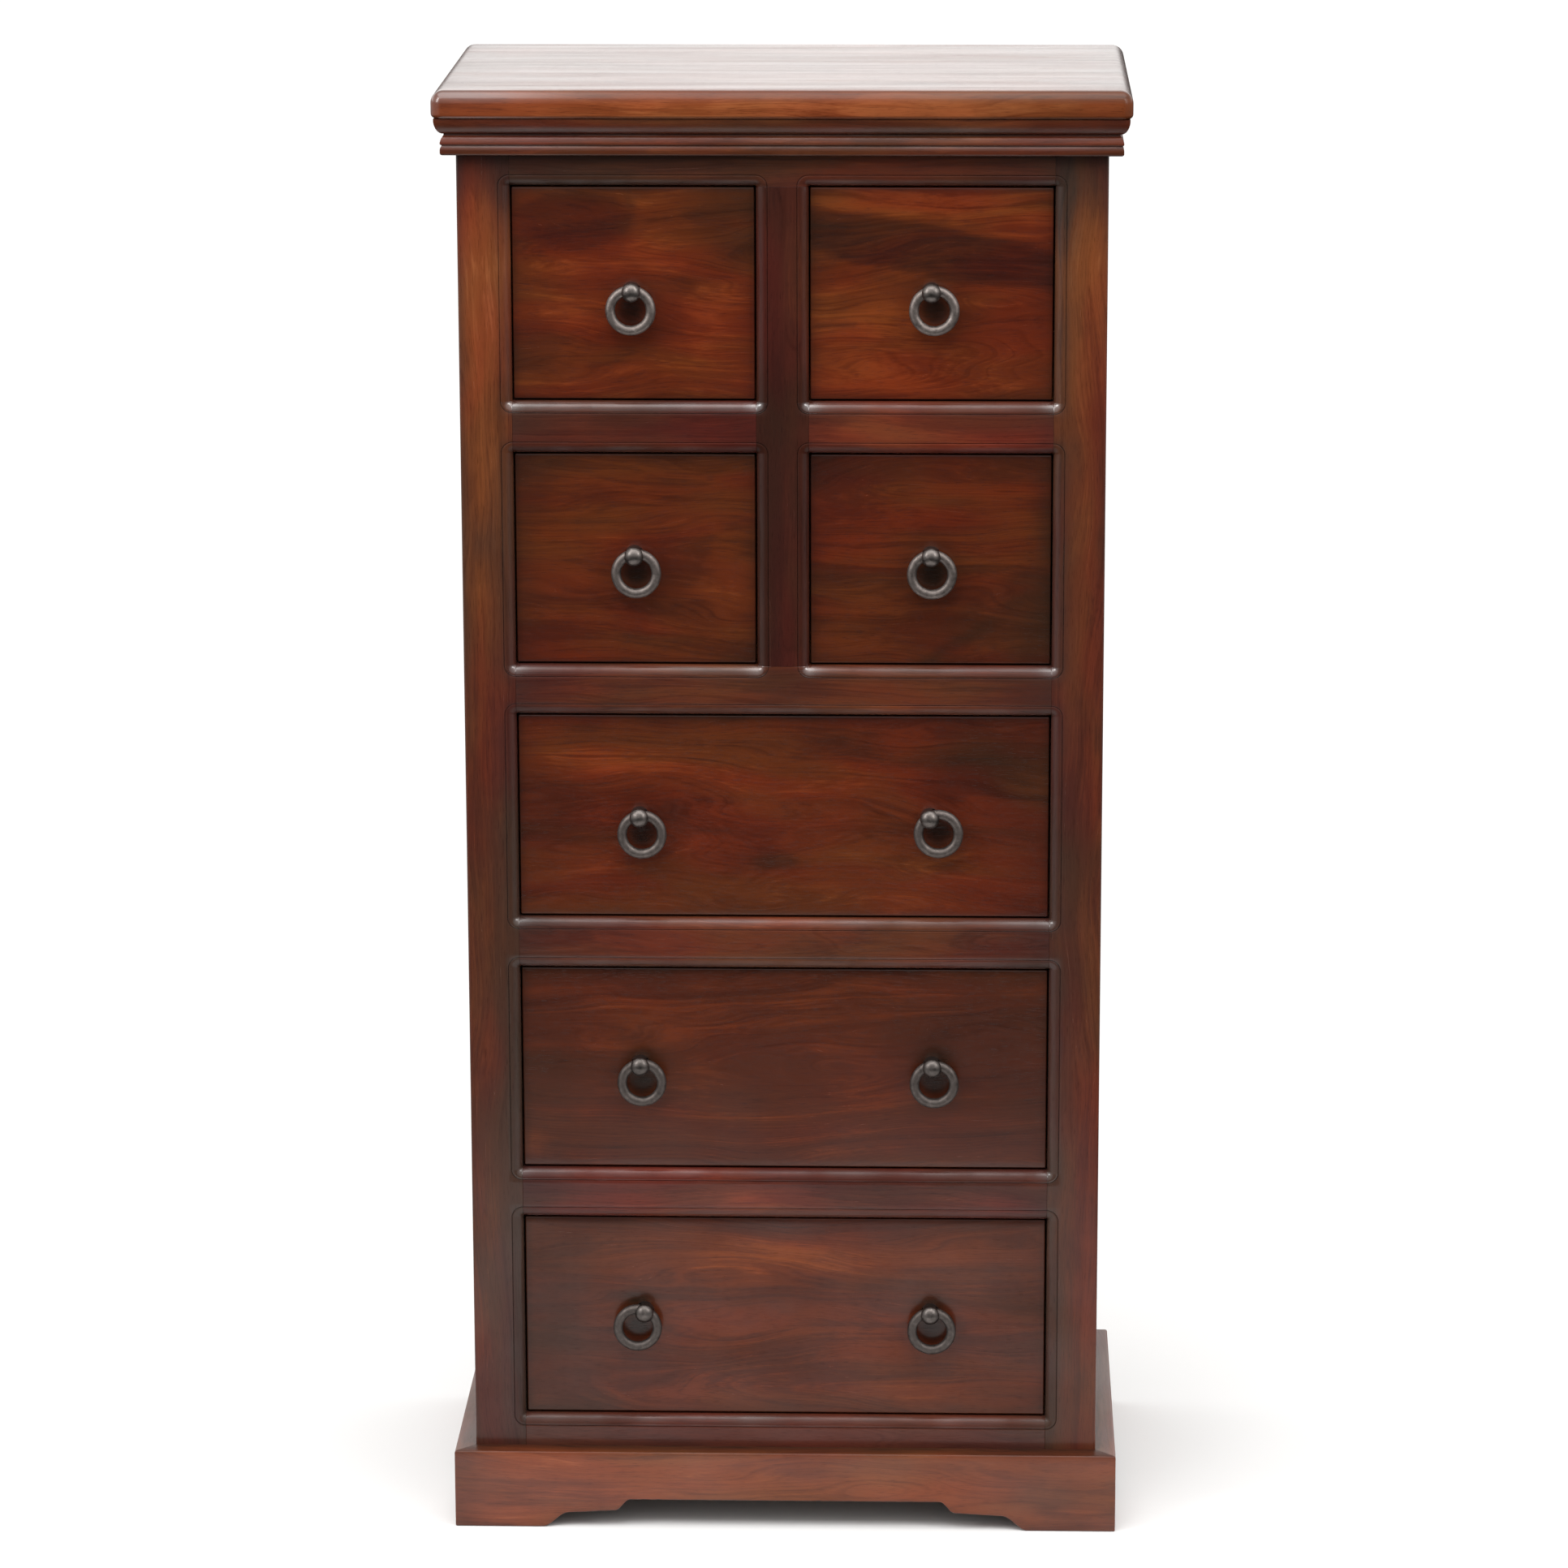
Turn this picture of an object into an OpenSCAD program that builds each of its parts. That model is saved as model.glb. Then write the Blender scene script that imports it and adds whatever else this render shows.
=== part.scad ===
// Tallboy: a tall, narrow chest of drawers in stained solid hardwood.
// Two pairs of small drawers sit over three full-width drawers. Each drawer
// is hung with forged ring pulls. Units are millimetres, +Z is up, and the
// origin is on the floor at the middle of the outer box.

/* [Overall] */
// Width across the top board
top_w = 600; // [500:10:700]
// Depth of the top board, front overhang included
top_d = 350; // [320:5:420]
// Height from the floor to the top surface
total_h = 1300; // [1270:5:1330]
// Thickness of the top board
top_t = 24; // [20:1:30]
// Overhang of the top board past the carcass, front and sides
top_over = 20; // [16:1:26]
// Radius on the upper edge of the top board
top_round = 11; // [6:1:12]
// Radius on the lower edge of the top board
top_under_round = 4; // [2:1:6]

/* [Cornice] */
// Height of the moulding under the top board
cornice_h = 32; // [28:1:40]
// Overhang of the two beads at the foot of the moulding
cornice_over = 12.5; // [10:0.5:15]
// Overhang of the moulding where it meets the top board
cornice_top_over = 17.5; // [15:0.5:19]

/* [Front frame] */
// Width of each stile, rail and muntin, mouldings included
member_w = 45.5; // [40:0.5:54]
// Thickness of the rails and the muntin
rail_t = 22; // [18:1:26]
// Depth of the two front stiles
stile_t = 30; // [26:1:36]
// Width of the moulding cut round each drawer opening
bead_w = 10.4; // [8:0.1:11]
// Depth of that moulding
bead_d = 9; // [6:0.5:10]
// Depth of the groove between the frame face and the moulding
quirk = 0.95; // [0.5:0.05:1.6]
// Distance of the moulding's crest from the opening
bead_crest = 9.2; // [6:0.1:9.4]
// Facets in each moulding's round
bead_steps = 7; // [4:1:10]

/* [Drawers] */
// Height of each drawer opening
open_h = 187; // [170:1:190]
// Height of the centre of the lowest opening
low_row = 194; // [190:0.5:200]
// Distance between one row of drawers and the next
row_pitch = 232; // [225:1:234]
// Thickness of the drawer fronts
front_t = 18; // [16:1:20]
// How far the drawer fronts stand behind the frame face
front_set = 8; // [4:0.5:9]
// Gap beside each drawer front
gap_side = 1.2; // [0.8:0.1:3]
// Gap below each drawer front
gap_low = 1.5; // [1:0.1:4]
// Gap above each drawer front
gap_top = 1.2; // [1:0.1:3]
// Thickness of the drawer sides and backs
side_t = 12; // [10:1:14]
// Height of the drawer sides
side_h = 150; // [120:1:160]
// Length of the drawer sides behind the front
side_l = 272; // [250:1:275]
// Thickness of the drawer bottoms
ply_t = 5; // [4:1:6]

/* [Pulls] */
// Distance of each pull from the middle of the chest
pull_x = 129; // [120:1:140]
// Height of each pull above the middle of its opening
pull_up = 4; // [0:0.5:10]
// Radius of the pull's post
post_r = 8.4; // [8:0.1:9]
// Length of the post in front of the drawer
post_l = 22; // [20:0.5:26]
// Distance of the ring's hole from the drawer front
hole_out = 11; // [10:0.5:12]
// Radius of the ring's hole through the post
hole_r = 6.05; // [6:0.05:6.2]
// Radius of the ring, to the middle of its bar
ring_r = 17.6; // [16:0.1:20]
// Radius of the ring's bar
bar_r = 4.4; // [3.5:0.1:4.5]
// Radius of the threaded shank
shank_r = 3; // [2.5:0.5:4]

/* [Plinth] */
// Height of the plinth
plinth_h = 72; // [60:1:90]
// Thickness of the plinth boards, and their stand past the carcass
plinth_t = 18; // [15:1:19]
// Height of the cut-out between the feet
arch_h = 26.5; // [20:0.5:35]
// Half the width of the cut-out where it meets the floor
arch_w = 219; // [200:1:230]

/* [Node] */
// Which piece to draw

/* [Hidden] */
$fn = 48;

// Each module below is drawn with the carcass front at y = 0.
front_y = -top_d / 2 + top_over;
half = top_w / 2 - top_over;      // half the carcass width
deep = top_d - top_over;          // carcass depth
cap_z = total_h - top_t;          // underside of the top board
hole_x = half - member_w;         // outer edge of the openings
mid_x = member_w / 2;             // inner edge of the small openings
row_z = [for (i = [0:4]) low_row + (4 - i) * row_pitch];
// The openings and pulls are set out by hand: small departures from the even spacing, row by row
trim_low = [0, -2, 1, 0.5, 0];
trim_high = [0.5, -0.5, -1.5, 0, 0];
trim_pull = [-0.7, -0.2, -2.8, 1.4, 2.4];
shift_pull = [[-1, -0.5], [-0.5, 0], [2, -0.5], [1, 2.5], [3, 1.5]];
low = [for (i = [0:4]) row_z[i] - open_h / 2 + trim_low[i]];
high = [for (i = [0:4]) row_z[i] + open_h / 2 + trim_high[i]];
top_rail_low = high[0];

// How far each ring leans to the right, in degrees, left and right of each row
lean = [[-3, 9], [6, 3], [8, 29], [5, 7], [-23, 5]];

// Back of the carcass
post_w = 35;
post_t = 35;
back_t = 6;
back_in = deep - back_t;          // front of the back panel
rear_y = deep - post_t;           // front of the rear posts
brail_t = 20;
brail_y = back_in - brail_t;      // front of the back rails
rebate = 12;

// Frame-and-panel sides
srail_t = 20;
srail_low = [40, 122];
srail_top = [cap_z - 70, cap_z];
panel_x = 5;                      // panel face behind the frame face
panel_t = 8;
groove = 8;

tenon_t = 8;
open_joint = 0.1;                 // glue line left between two pieces of one group
tenon_l = 26;
stub_l = 19;

module place() { translate([0, front_y, 0]) children(); }
module box(a, b) { translate(a) cube(b - a); }
module pair() { children(); mirror([1, 0, 0]) children(); }

// ---- the moulding round the drawer openings --------------------------------
// Out of the groove, over the crest and round to the opening's edge
function bead_round() = concat(
  [[bead_crest + 0.55, -0.7], [bead_crest + 0.35, -0.3]],
  [for (k = [0:bead_steps]) let (t = 90 * k / bead_steps)
    [bead_crest * (1 - sin(t)), -0.15 - (bead_d - 0.15) * (1 - cos(t))]]);

module bead_profile()
  polygon(concat([[0, 1], [bead_w, 1], [bead_w, 0], [bead_w - 0.3, -quirk], [bead_w - 0.6, -quirk]], bead_round()));

// A straight run: it cuts towards +x over y from -l to 0
module bead_edge(l) rotate([90, 0, 0]) linear_extrude(l) bead_profile();
module bead_corner() rotate_extrude(angle = 90) bead_profile();

// All of the moulding round one opening, in the plane of the frame face
module opening_bead(x0, x1, z0, z1) rotate([90, 0, 0]) {
  translate([x1, z1, 0]) { bead_edge(z1 - z0); bead_corner(); }
  translate([x0, z1, 0]) rotate(90) { bead_edge(x1 - x0); bead_corner(); }
  translate([x0, z0, 0]) rotate(180) { bead_edge(z1 - z0); bead_corner(); }
  translate([x1, z0, 0]) rotate(270) { bead_edge(x1 - x0); bead_corner(); }
}
module small_bead(row, s) opening_bead(s < 0 ? -hole_x : mid_x, s < 0 ? -mid_x : hole_x, low[row], high[row]);
module wide_bead(row) opening_bead(-hole_x, hole_x, low[row], high[row]);

// ---- joints of the frame ---------------------------------------------------
// Tenon of a rail into the left stile, between two heights
module stile_tenon(z0, z1) box([-hole_x - tenon_l, 7, z0], [-hole_x, 7 + tenon_t, z1]);
module rail_tenons() {
  stile_tenon(cap_z - 46, cap_z - 14);
  stile_tenon(low[0] - member_w / 2 - 11, low[0] - member_w / 2 + 11);
  for (k = [1:3]) stile_tenon(low[k] - member_w / 2 - 11, low[k] - member_w / 2 + 11);
  stile_tenon(54, 88);
}
// Tenon of a side rail, into the front stile and the rear post
module srail_tenon(z0, z1) box([-half + panel_x, stile_t - 20, z0 + 12], [-half + panel_x + panel_t, rear_y + 20, z1 - 10]);
module side_panel_space(g) box([-half + panel_x, stile_t - groove + g, srail_low[1] - groove + g],
  [-half + panel_x + panel_t, rear_y + groove - g, srail_top[0] + groove - g]);

// ---- top and cornice -------------------------------------------------------
module edge_section(l) difference() {
  square([l, top_t]);
  translate([0, top_t - top_round]) difference() {
    translate([-1, 0]) square([top_round + 1, top_round + 1]);
    translate([top_round, 0]) circle(top_round);
  }
  difference() {
    translate([-1, -1]) square([top_under_round + 1, top_under_round + 1]);
    translate([top_under_round, top_under_round]) circle(top_under_round);
  }
}
module top_board() color([0.40, 0.20, 0.12]) place() translate([0, -top_over, cap_z]) intersection() {
  translate([-top_w / 2, 0, 0]) rotate([90, 0, 90]) linear_extrude(top_w) edge_section(top_d);
  pair_section();
}
module pair_section() intersection() {
  translate([-top_w / 2, top_d, 0]) rotate([90, 0, 0]) linear_extrude(top_d) edge_section(top_w);
  translate([top_w / 2, top_d, 0]) mirror([1, 0, 0]) rotate([90, 0, 0]) linear_extrude(top_d) edge_section(top_w);
}

// Section of the cornice: distance out from the carcass, and height
module cornice_section() let (b = cornice_over, n = cornice_h, r = cornice_top_over)
  polygon(concat(
    [[0, 0], [b - 1.6, 0], [b, 1.4], [b, 4.6], [b - 0.3, 6.4], [b - 1.1, 7.8], [b - 1.5, 8.2], [b - 1.5, 8.8], [b - 0.1, 9.6], [b, 10.4], [b - 0.4, 12.4], [b - 1.3, 14.6], [b - 2.6, 16.4], [b - 3.2, 17], [b - 3.2, 18.6]],
    [for (k = [1:6]) let (t = 15 * k) [b - 3.2 + (r - b + 3.2) * sin(t), n - (n - 18.6) * cos(t)]],
    [[0, n]]));
module mitre(s) linear_extrude(cornice_h + 2) polygon([[0, 0], [s * 60, -60], [s * 60, 60], [0, 60]]);
module cornice_front() color([0.32, 0.14, 0.10]) place() difference() {
  translate([-half - 30, 0, cap_z - cornice_h]) rotate([90, 0, 90]) linear_extrude(2 * half + 60) mirror([1, 0]) cornice_section();
  translate([-half, 0, cap_z - cornice_h - 1]) mitre(-1);
  translate([half, 0, cap_z - cornice_h - 1]) mitre(1);
}
module cornice_returns() color([0.34, 0.15, 0.10]) place() pair() intersection() {
  translate([-half, -40, cap_z - cornice_h]) rotate([90, 0, 180]) linear_extrude(deep + 40) cornice_section();
  translate([-half, 0, cap_z - cornice_h - 1]) linear_extrude(cornice_h + 2) polygon([[0, 0], [-60, -60], [-60, deep], [0, deep]]);
}

// ---- front frame -----------------------------------------------------------
module stile_body(s) difference() {
  box([-half, 0, 0], [-hole_x, stile_t, cap_z]);
  for (k = [0, 1]) small_bead(k, -1);
  for (k = [2:4]) wide_bead(k);
  rail_tenons();
  srail_tenon(srail_low[0], srail_low[1]);
  srail_tenon(srail_top[0], srail_top[1]);
  side_panel_space(0);
}
module stile_left() color([0.50, 0.22, 0.12]) place() stile_body();
module stile_right() color([0.38, 0.16, 0.10]) place() mirror([1, 0, 0]) stile_body();

module top_rail() color([0.30, 0.13, 0.09]) place() difference() {
  union() {
    box([-hole_x, 0, top_rail_low], [hole_x, rail_t, cap_z]);
    pair() stile_tenon(cap_z - 46, cap_z - 14);
  }
  for (s = [-1, 1]) small_bead(0, s);
  box([-10, 7, top_rail_low - 1], [10, 7 + tenon_t, top_rail_low + 24]);
}
module muntin() color([0.30, 0.13, 0.09]) place() difference() {
  union() {
    box([-mid_x, 0, low[1]], [mid_x, rail_t, top_rail_low]);
    box([-10, 7, low[1] - 20], [10, 7 + tenon_t, low[1]]);
    box([-10, 7, top_rail_low], [10, 7 + tenon_t, top_rail_low + 24]);
  }
  for (k = [0, 1], s = [-1, 1]) small_bead(k, s);
  pair() box([-mid_x - 1, 7, low[0] - member_w / 2 - 11], [-mid_x + stub_l, 7 + tenon_t, low[0] - member_w / 2 + 11]);
}
module short_rails() color([0.34, 0.15, 0.09]) place() pair() difference() {
  union() {
    box([-hole_x, 0, high[1]], [-mid_x, rail_t, low[0]]);
    stile_tenon(low[0] - member_w / 2 - 11, low[0] - member_w / 2 + 11);
    box([-mid_x, 7, low[0] - member_w / 2 - 11], [-mid_x + stub_l, 7 + tenon_t, low[0] - member_w / 2 + 11]);
  }
  for (k = [0, 1]) small_bead(k, -1);
}
module wide_rail(k) union() {
  box([-hole_x, 0, high[k + 1]], [hole_x, rail_t, low[k]]);
  pair() stile_tenon(low[k] - member_w / 2 - 11, low[k] - member_w / 2 + 11);
}
module rail_2() color([0.36, 0.16, 0.10]) place() difference() {
  wide_rail(1);
  for (s = [-1, 1]) small_bead(1, s);
  wide_bead(2);
  box([-10, 7, low[1] - 20], [10, 7 + tenon_t, low[1] + 1]);
}
module rail_3() color([0.36, 0.17, 0.11]) place() difference() { wide_rail(2); wide_bead(2); wide_bead(3); }
module rail_4() color([0.34, 0.17, 0.12]) place() difference() { wide_rail(3); wide_bead(3); wide_bead(4); }
module bottom_rail() color([0.32, 0.16, 0.11]) place() difference() {
  union() {
    box([-hole_x, 0, 40], [hole_x, rail_t, low[4]]);
    pair() stile_tenon(54, 88);
  }
  wide_bead(4);
}

// ---- sides and back --------------------------------------------------------
module rear_posts() color([0.38, 0.19, 0.12]) place() pair() difference() {
  box([-half, rear_y, 0], [-half + post_w, deep, cap_z]);
  box([-half + post_w - rebate, back_in, 52], [-half + post_w + 1, deep + 1, cap_z - 12]);
  srail_tenon(srail_low[0], srail_low[1]);
  srail_tenon(srail_top[0], srail_top[1]);
  side_panel_space(0);
}
module side_rails() color([0.38, 0.18, 0.11]) place() pair() for (z = [srail_low, srail_top]) difference() {
  union() {
    box([-half, stile_t, z[0]], [-half + srail_t, rear_y, z[1]]);
    srail_tenon(z[0], z[1]);
  }
  side_panel_space(0);
}
module side_panels() color([0.42, 0.20, 0.12]) place() pair() side_panel_space(0.5);
module back_rails() color([0.42, 0.24, 0.16]) place() for (z = [[40, 100], [cap_z - 60, cap_z]])
  box([-half + post_w, brail_y, z[0]], [half - post_w, back_in, z[1]]);
module back_panel() color([0.45, 0.28, 0.19]) place()
  box([-half + post_w - rebate, back_in, 52], [half - post_w + rebate, deep, cap_z - 12]);
module centre_batten() color([0.42, 0.24, 0.16]) place()
  box([-22, brail_y, 100], [22, back_in, cap_z - 60]);

// ---- runners and bottom ----------------------------------------------------
box_in = 1.6;                     // how far the drawer's box stands behind the ends of its front
wide = hole_x - gap_side - box_in; // half the width of a wide drawer's box
slim = mid_x + gap_side + box_in;  // inner edge of a small drawer's box
module runners() color([0.55, 0.38, 0.25]) place() {
  pair() for (z = low) {
    box([-half + srail_t, stile_t, z - 18], [-wide + 10, rear_y, z]);
    box([-half + srail_t, stile_t, z + open_joint], [-wide - 0.5, rear_y, z + 14]);
  }
  for (z = [low[0], low[1]]) {
    box([-slim - side_t, rail_t, z - 18], [slim + side_t, brail_y, z]);
    box([-slim + 0.5, front_set + front_t + 1, z + open_joint], [slim - 0.5, brail_y, z + 14]);
  }
}
module bottom_board() color([0.48, 0.32, 0.22]) place() union() {
  box([-half + srail_t, stile_t, plinth_h], [half - srail_t, rear_y, plinth_h + 6]);
  box([-hole_x, rail_t, plinth_h], [hole_x, brail_y, plinth_h + 6]);
}

// ---- plinth ----------------------------------------------------------------
function ease(t) = t * t * (3 - 2 * t);
// Height of the cut-out at a distance in from the point where it meets the floor
function arch_z(d) = d <= 23 ? 13.6 * ease(d / 23)
  : d <= 66 ? 13.6 + 2.4 * (d - 23) / 43
  : d <= 79 ? 16 + (arch_h - 16) * ease((d - 66) / 13)
  : arch_h;
function arch_side(w) = concat([for (d = [0:3:66]) [w - d, arch_z(d)]], [for (d = [68:2:80]) [w - d, arch_z(d)]]);
module arch_outline(outer, w) {
  side = arch_side(w);
  n = len(side);
  polygon(concat([[-outer, 0], [-outer, plinth_h], [outer, plinth_h], [outer, 0]],
    side, [for (k = [1:n]) [-side[n - k][0], side[n - k][1]]]));
}
ph = half + plinth_t;
side_arch = 104;                   // half the width of the side cut-outs
module plinth_front() color([0.47, 0.27, 0.20]) place() intersection() {
  translate([0, 0, 0]) rotate([90, 0, 0]) linear_extrude(plinth_t) arch_outline(ph, arch_w);
  linear_extrude(plinth_h) polygon([[-half, 0], [-ph, -plinth_t], [ph, -plinth_t], [half, 0]]);
}
module plinth_returns() color([0.44, 0.25, 0.18]) place() pair() intersection() {
  translate([-half, (deep - plinth_t) / 2, 0]) rotate([90, 0, -90]) linear_extrude(plinth_t) arch_outline((deep + plinth_t) / 2, side_arch);
  linear_extrude(plinth_h) polygon([[-half, 0], [-ph, -plinth_t], [-ph, deep], [-half, deep]]);
}

// ---- drawers ---------------------------------------------------------------
function front_low(row) = low[row] + gap_low;
function front_high(row) = high[row] - gap_top;
back_of_front = front_set + front_t;
box_low_up = 0.3;                 // the sides clear the runners by this
bottom_up = 10;                   // underside of the drawer bottom above the sides' lower edge

function pull_at(row, s) = s * pull_x + shift_pull[row][s < 0 ? 0 : 1];
function pull_z(row) = row_z[row] + pull_up + trim_pull[row];
// x0 and x1 are the opening's edges; pulls lists the sides that have one, -1 or 1
module drawer_bottom(row, x0, x1) let (g = gap_side + box_in + side_t - 5, z = low[row] + box_low_up + bottom_up)
  box([x0 + g, back_of_front - 5, z], [x1 - g, back_of_front + side_l, z + ply_t]);
module drawer_front(row, x0, x1, pulls) difference() {
  box([x0 + gap_side, front_set, front_low(row)], [x1 - gap_side, back_of_front, front_high(row)]);
  drawer_bottom(row, x0, x1);
  for (s = pulls) translate([pull_at(row, s), front_set - 1, pull_z(row)]) rotate([-90, 0, 0]) cylinder(r = shank_r + 0.1, h = front_t + 2);
}
module drawer_box(row, x0, x1) {
  a = x0 + gap_side + box_in;
  b = x1 - gap_side - box_in;
  z = low[row] + box_low_up;
  for (x = [a, b - side_t]) difference() {
    box([x, back_of_front, z], [x + side_t, back_of_front + side_l, z + side_h]);
    drawer_bottom(row, x0, x1);
  }
  box([a + side_t + open_joint, back_of_front + side_l - side_t, z + bottom_up + ply_t], [b - side_t - open_joint, back_of_front + side_l, z + side_h - 6]);
}

// ---- ring pulls ------------------------------------------------------------
// Drawn along +z out of the drawer face, with the ring's hole along x
module post() difference() {
  union() {
    rotate_extrude() {
      polygon([[0, 0], [6.2, 0], [6.4, 1.5], [post_r, 5], [post_r, post_l - 5.5], [0, post_l - 5.5]]);
      dome = 5.5;
      R = (post_r * post_r + dome * dome) / (2 * dome);
      intersection() {
        translate([0, post_l - R]) circle(R);
        translate([0, post_l - dome]) square([post_r, dome]);
      }
    }
    translate([0, 0, -front_t - 9]) cylinder(r = shank_r, h = front_t + 10);
  }
  translate([-15, 0, hole_out]) rotate([0, 90, 0]) cylinder(r = hole_r, h = 30);
}
module washer() translate([0, 0, -front_t - 1.5]) difference() {
  cylinder(r = 9, h = 1.5);
  translate([0, 0, -1]) cylinder(r = shank_r + 0.2, h = 4);
}
module nut() translate([0, 0, -front_t - 6.5]) difference() {
  cylinder(r = 5.8, h = 5 - open_joint, $fn = 6);
  translate([0, 0, -1]) cylinder(r = shank_r + 0.05, h = 7);
}
module at_pull(row, s) translate([pull_at(row, s), front_set, pull_z(row)])
  rotate([0, -lean[row][s < 0 ? 0 : 1], 0]) rotate([90, 0, 0]) children();
module pull(row, s) color([0.36, 0.34, 0.33]) at_pull(row, s) { post(); washer(); nut(); }

// The ring's bar hangs a little high in its hole, where its curve fits
bar_up = (sqrt(pow(ring_r - bar_r, 2) - post_r * post_r) - ring_r + bar_r) / -2;
module ring(row, s) color([0.40, 0.38, 0.36]) place() at_pull(row, s)
  translate([0, bar_up - ring_r, hole_out]) rotate_extrude($fn = 64) translate([ring_r, 0]) circle(bar_r, $fn = 24);

small_l = [-hole_x, -mid_x];
small_r = [mid_x, hole_x];
full = [-hole_x, hole_x];

module d1l_front() color([0.40, 0.15, 0.09]) place() drawer_front(0, small_l[0], small_l[1], [-1]);
module d1l_box() color([0.52, 0.33, 0.21]) place() drawer_box(0, small_l[0], small_l[1]);
module d1l_bottom() color([0.56, 0.38, 0.25]) place() drawer_bottom(0, small_l[0], small_l[1]);
module d1l_pull() place() pull(0, -1);
module d1r_front() color([0.38, 0.13, 0.07]) place() drawer_front(0, small_r[0], small_r[1], [1]);
module d1r_box() color([0.52, 0.33, 0.21]) place() drawer_box(0, small_r[0], small_r[1]);
module d1r_bottom() color([0.56, 0.38, 0.25]) place() drawer_bottom(0, small_r[0], small_r[1]);
module d1r_pull() place() pull(0, 1);
module d2l_front() color([0.36, 0.13, 0.08]) place() drawer_front(1, small_l[0], small_l[1], [-1]);
module d2l_box() color([0.52, 0.33, 0.21]) place() drawer_box(1, small_l[0], small_l[1]);
module d2l_bottom() color([0.56, 0.38, 0.25]) place() drawer_bottom(1, small_l[0], small_l[1]);
module d2l_pull() place() pull(1, -1);
module d2r_front() color([0.35, 0.14, 0.09]) place() drawer_front(1, small_r[0], small_r[1], [1]);
module d2r_box() color([0.52, 0.33, 0.21]) place() drawer_box(1, small_r[0], small_r[1]);
module d2r_bottom() color([0.56, 0.38, 0.25]) place() drawer_bottom(1, small_r[0], small_r[1]);
module d2r_pull() place() pull(1, 1);
module d3_front() color([0.36, 0.15, 0.09]) place() drawer_front(2, full[0], full[1], [-1, 1]);
module d3_box() color([0.52, 0.33, 0.21]) place() drawer_box(2, full[0], full[1]);
module d3_bottom() color([0.56, 0.38, 0.25]) place() drawer_bottom(2, full[0], full[1]);
module d3_pull() place() { pull(2, -1); pull(2, 1); }
module d4_front() color([0.36, 0.17, 0.12]) place() drawer_front(3, full[0], full[1], [-1, 1]);
module d4_box() color([0.52, 0.33, 0.21]) place() drawer_box(3, full[0], full[1]);
module d4_bottom() color([0.56, 0.38, 0.25]) place() drawer_bottom(3, full[0], full[1]);
module d4_pull() place() { pull(3, -1); pull(3, 1); }
module d5_front() color([0.36, 0.18, 0.14]) place() drawer_front(4, full[0], full[1], [-1, 1]);
module d5_box() color([0.52, 0.33, 0.21]) place() drawer_box(4, full[0], full[1]);
module d5_bottom() color([0.56, 0.38, 0.25]) place() drawer_bottom(4, full[0], full[1]);
module d5_pull() place() { pull(4, -1); pull(4, 1); }

module ring_1l() ring(0, -1);
module ring_1r() ring(0, 1);
module ring_2l() ring(1, -1);
module ring_2r() ring(1, 1);
module ring_3l() ring(2, -1);
module ring_3r() ring(2, 1);
module ring_4l() ring(3, -1);
module ring_4r() ring(3, 1);
module ring_5l() ring(4, -1);
module ring_5r() ring(4, 1);

top_board();
cornice_front();
cornice_returns();
stile_left();
stile_right();
top_rail();
muntin();
short_rails();
rail_2();
rail_3();
rail_4();
bottom_rail();
rear_posts();
side_rails();
side_panels();
back_rails();
back_panel();
centre_batten();
runners();
bottom_board();
plinth_front();
plinth_returns();
d1l_front();
d1l_box();
d1l_bottom();
d1l_pull();
d1r_front();
d1r_box();
d1r_bottom();
d1r_pull();
d2l_front();
d2l_box();
d2l_bottom();
d2l_pull();
d2r_front();
d2r_box();
d2r_bottom();
d2r_pull();
d3_front();
d3_box();
d3_bottom();
d3_pull();
d4_front();
d4_box();
d4_bottom();
d4_pull();
d5_front();
d5_box();
d5_bottom();
d5_pull();
ring_1l();
ring_1r();
ring_2l();
ring_2r();
ring_3l();
ring_3r();
ring_4l();
ring_4r();
ring_5l();
ring_5r();
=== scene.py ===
import bpy
import bmesh
import math
import numpy as np
from mathutils import Matrix, Vector


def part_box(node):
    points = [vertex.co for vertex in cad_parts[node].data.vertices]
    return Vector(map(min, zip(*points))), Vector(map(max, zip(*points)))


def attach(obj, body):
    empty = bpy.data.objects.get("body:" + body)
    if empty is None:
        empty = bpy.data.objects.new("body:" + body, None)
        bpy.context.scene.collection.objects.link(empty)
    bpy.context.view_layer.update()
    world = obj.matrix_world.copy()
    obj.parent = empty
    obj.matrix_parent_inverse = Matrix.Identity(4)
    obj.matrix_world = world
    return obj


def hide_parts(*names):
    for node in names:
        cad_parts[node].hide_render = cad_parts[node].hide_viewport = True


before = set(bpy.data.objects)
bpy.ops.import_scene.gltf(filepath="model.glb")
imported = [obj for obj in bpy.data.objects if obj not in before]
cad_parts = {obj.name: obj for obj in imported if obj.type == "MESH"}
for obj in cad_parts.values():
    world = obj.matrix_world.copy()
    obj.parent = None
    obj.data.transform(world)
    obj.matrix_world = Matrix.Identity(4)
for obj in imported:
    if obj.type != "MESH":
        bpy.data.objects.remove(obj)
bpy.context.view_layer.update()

MM = 0.001
FACE_Y = -155.0                      # front of the carcass
HALF = 280.0                         # half its width
CAP_Z = 1276.0                       # underside of the top board
HOLE_X, MID_X = 234.5, 22.75
ROW_Z = [194.0 + (4 - i) * 232.0 for i in range(5)]
LOW = [z - 93.5 + t for z, t in zip(ROW_Z, (0, -2, 1, 0.5, 0))]
HIGH = [z + 93.5 + t for z, t in zip(ROW_Z, (0.5, -0.5, -1.5, 0, 0))]
PULL_Z = [z + 4 + t for z, t in zip(ROW_Z, (-0.7, -0.2, -2.8, 1.4, 2.4))]
PULL_DX = [[-1, -0.5], [-0.5, 0], [2, -0.5], [1, 2.5], [3, 1.5]]
GAP_SIDE, GAP_LOW, GAP_TOP = 1.2, 1.5, 1.2
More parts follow.
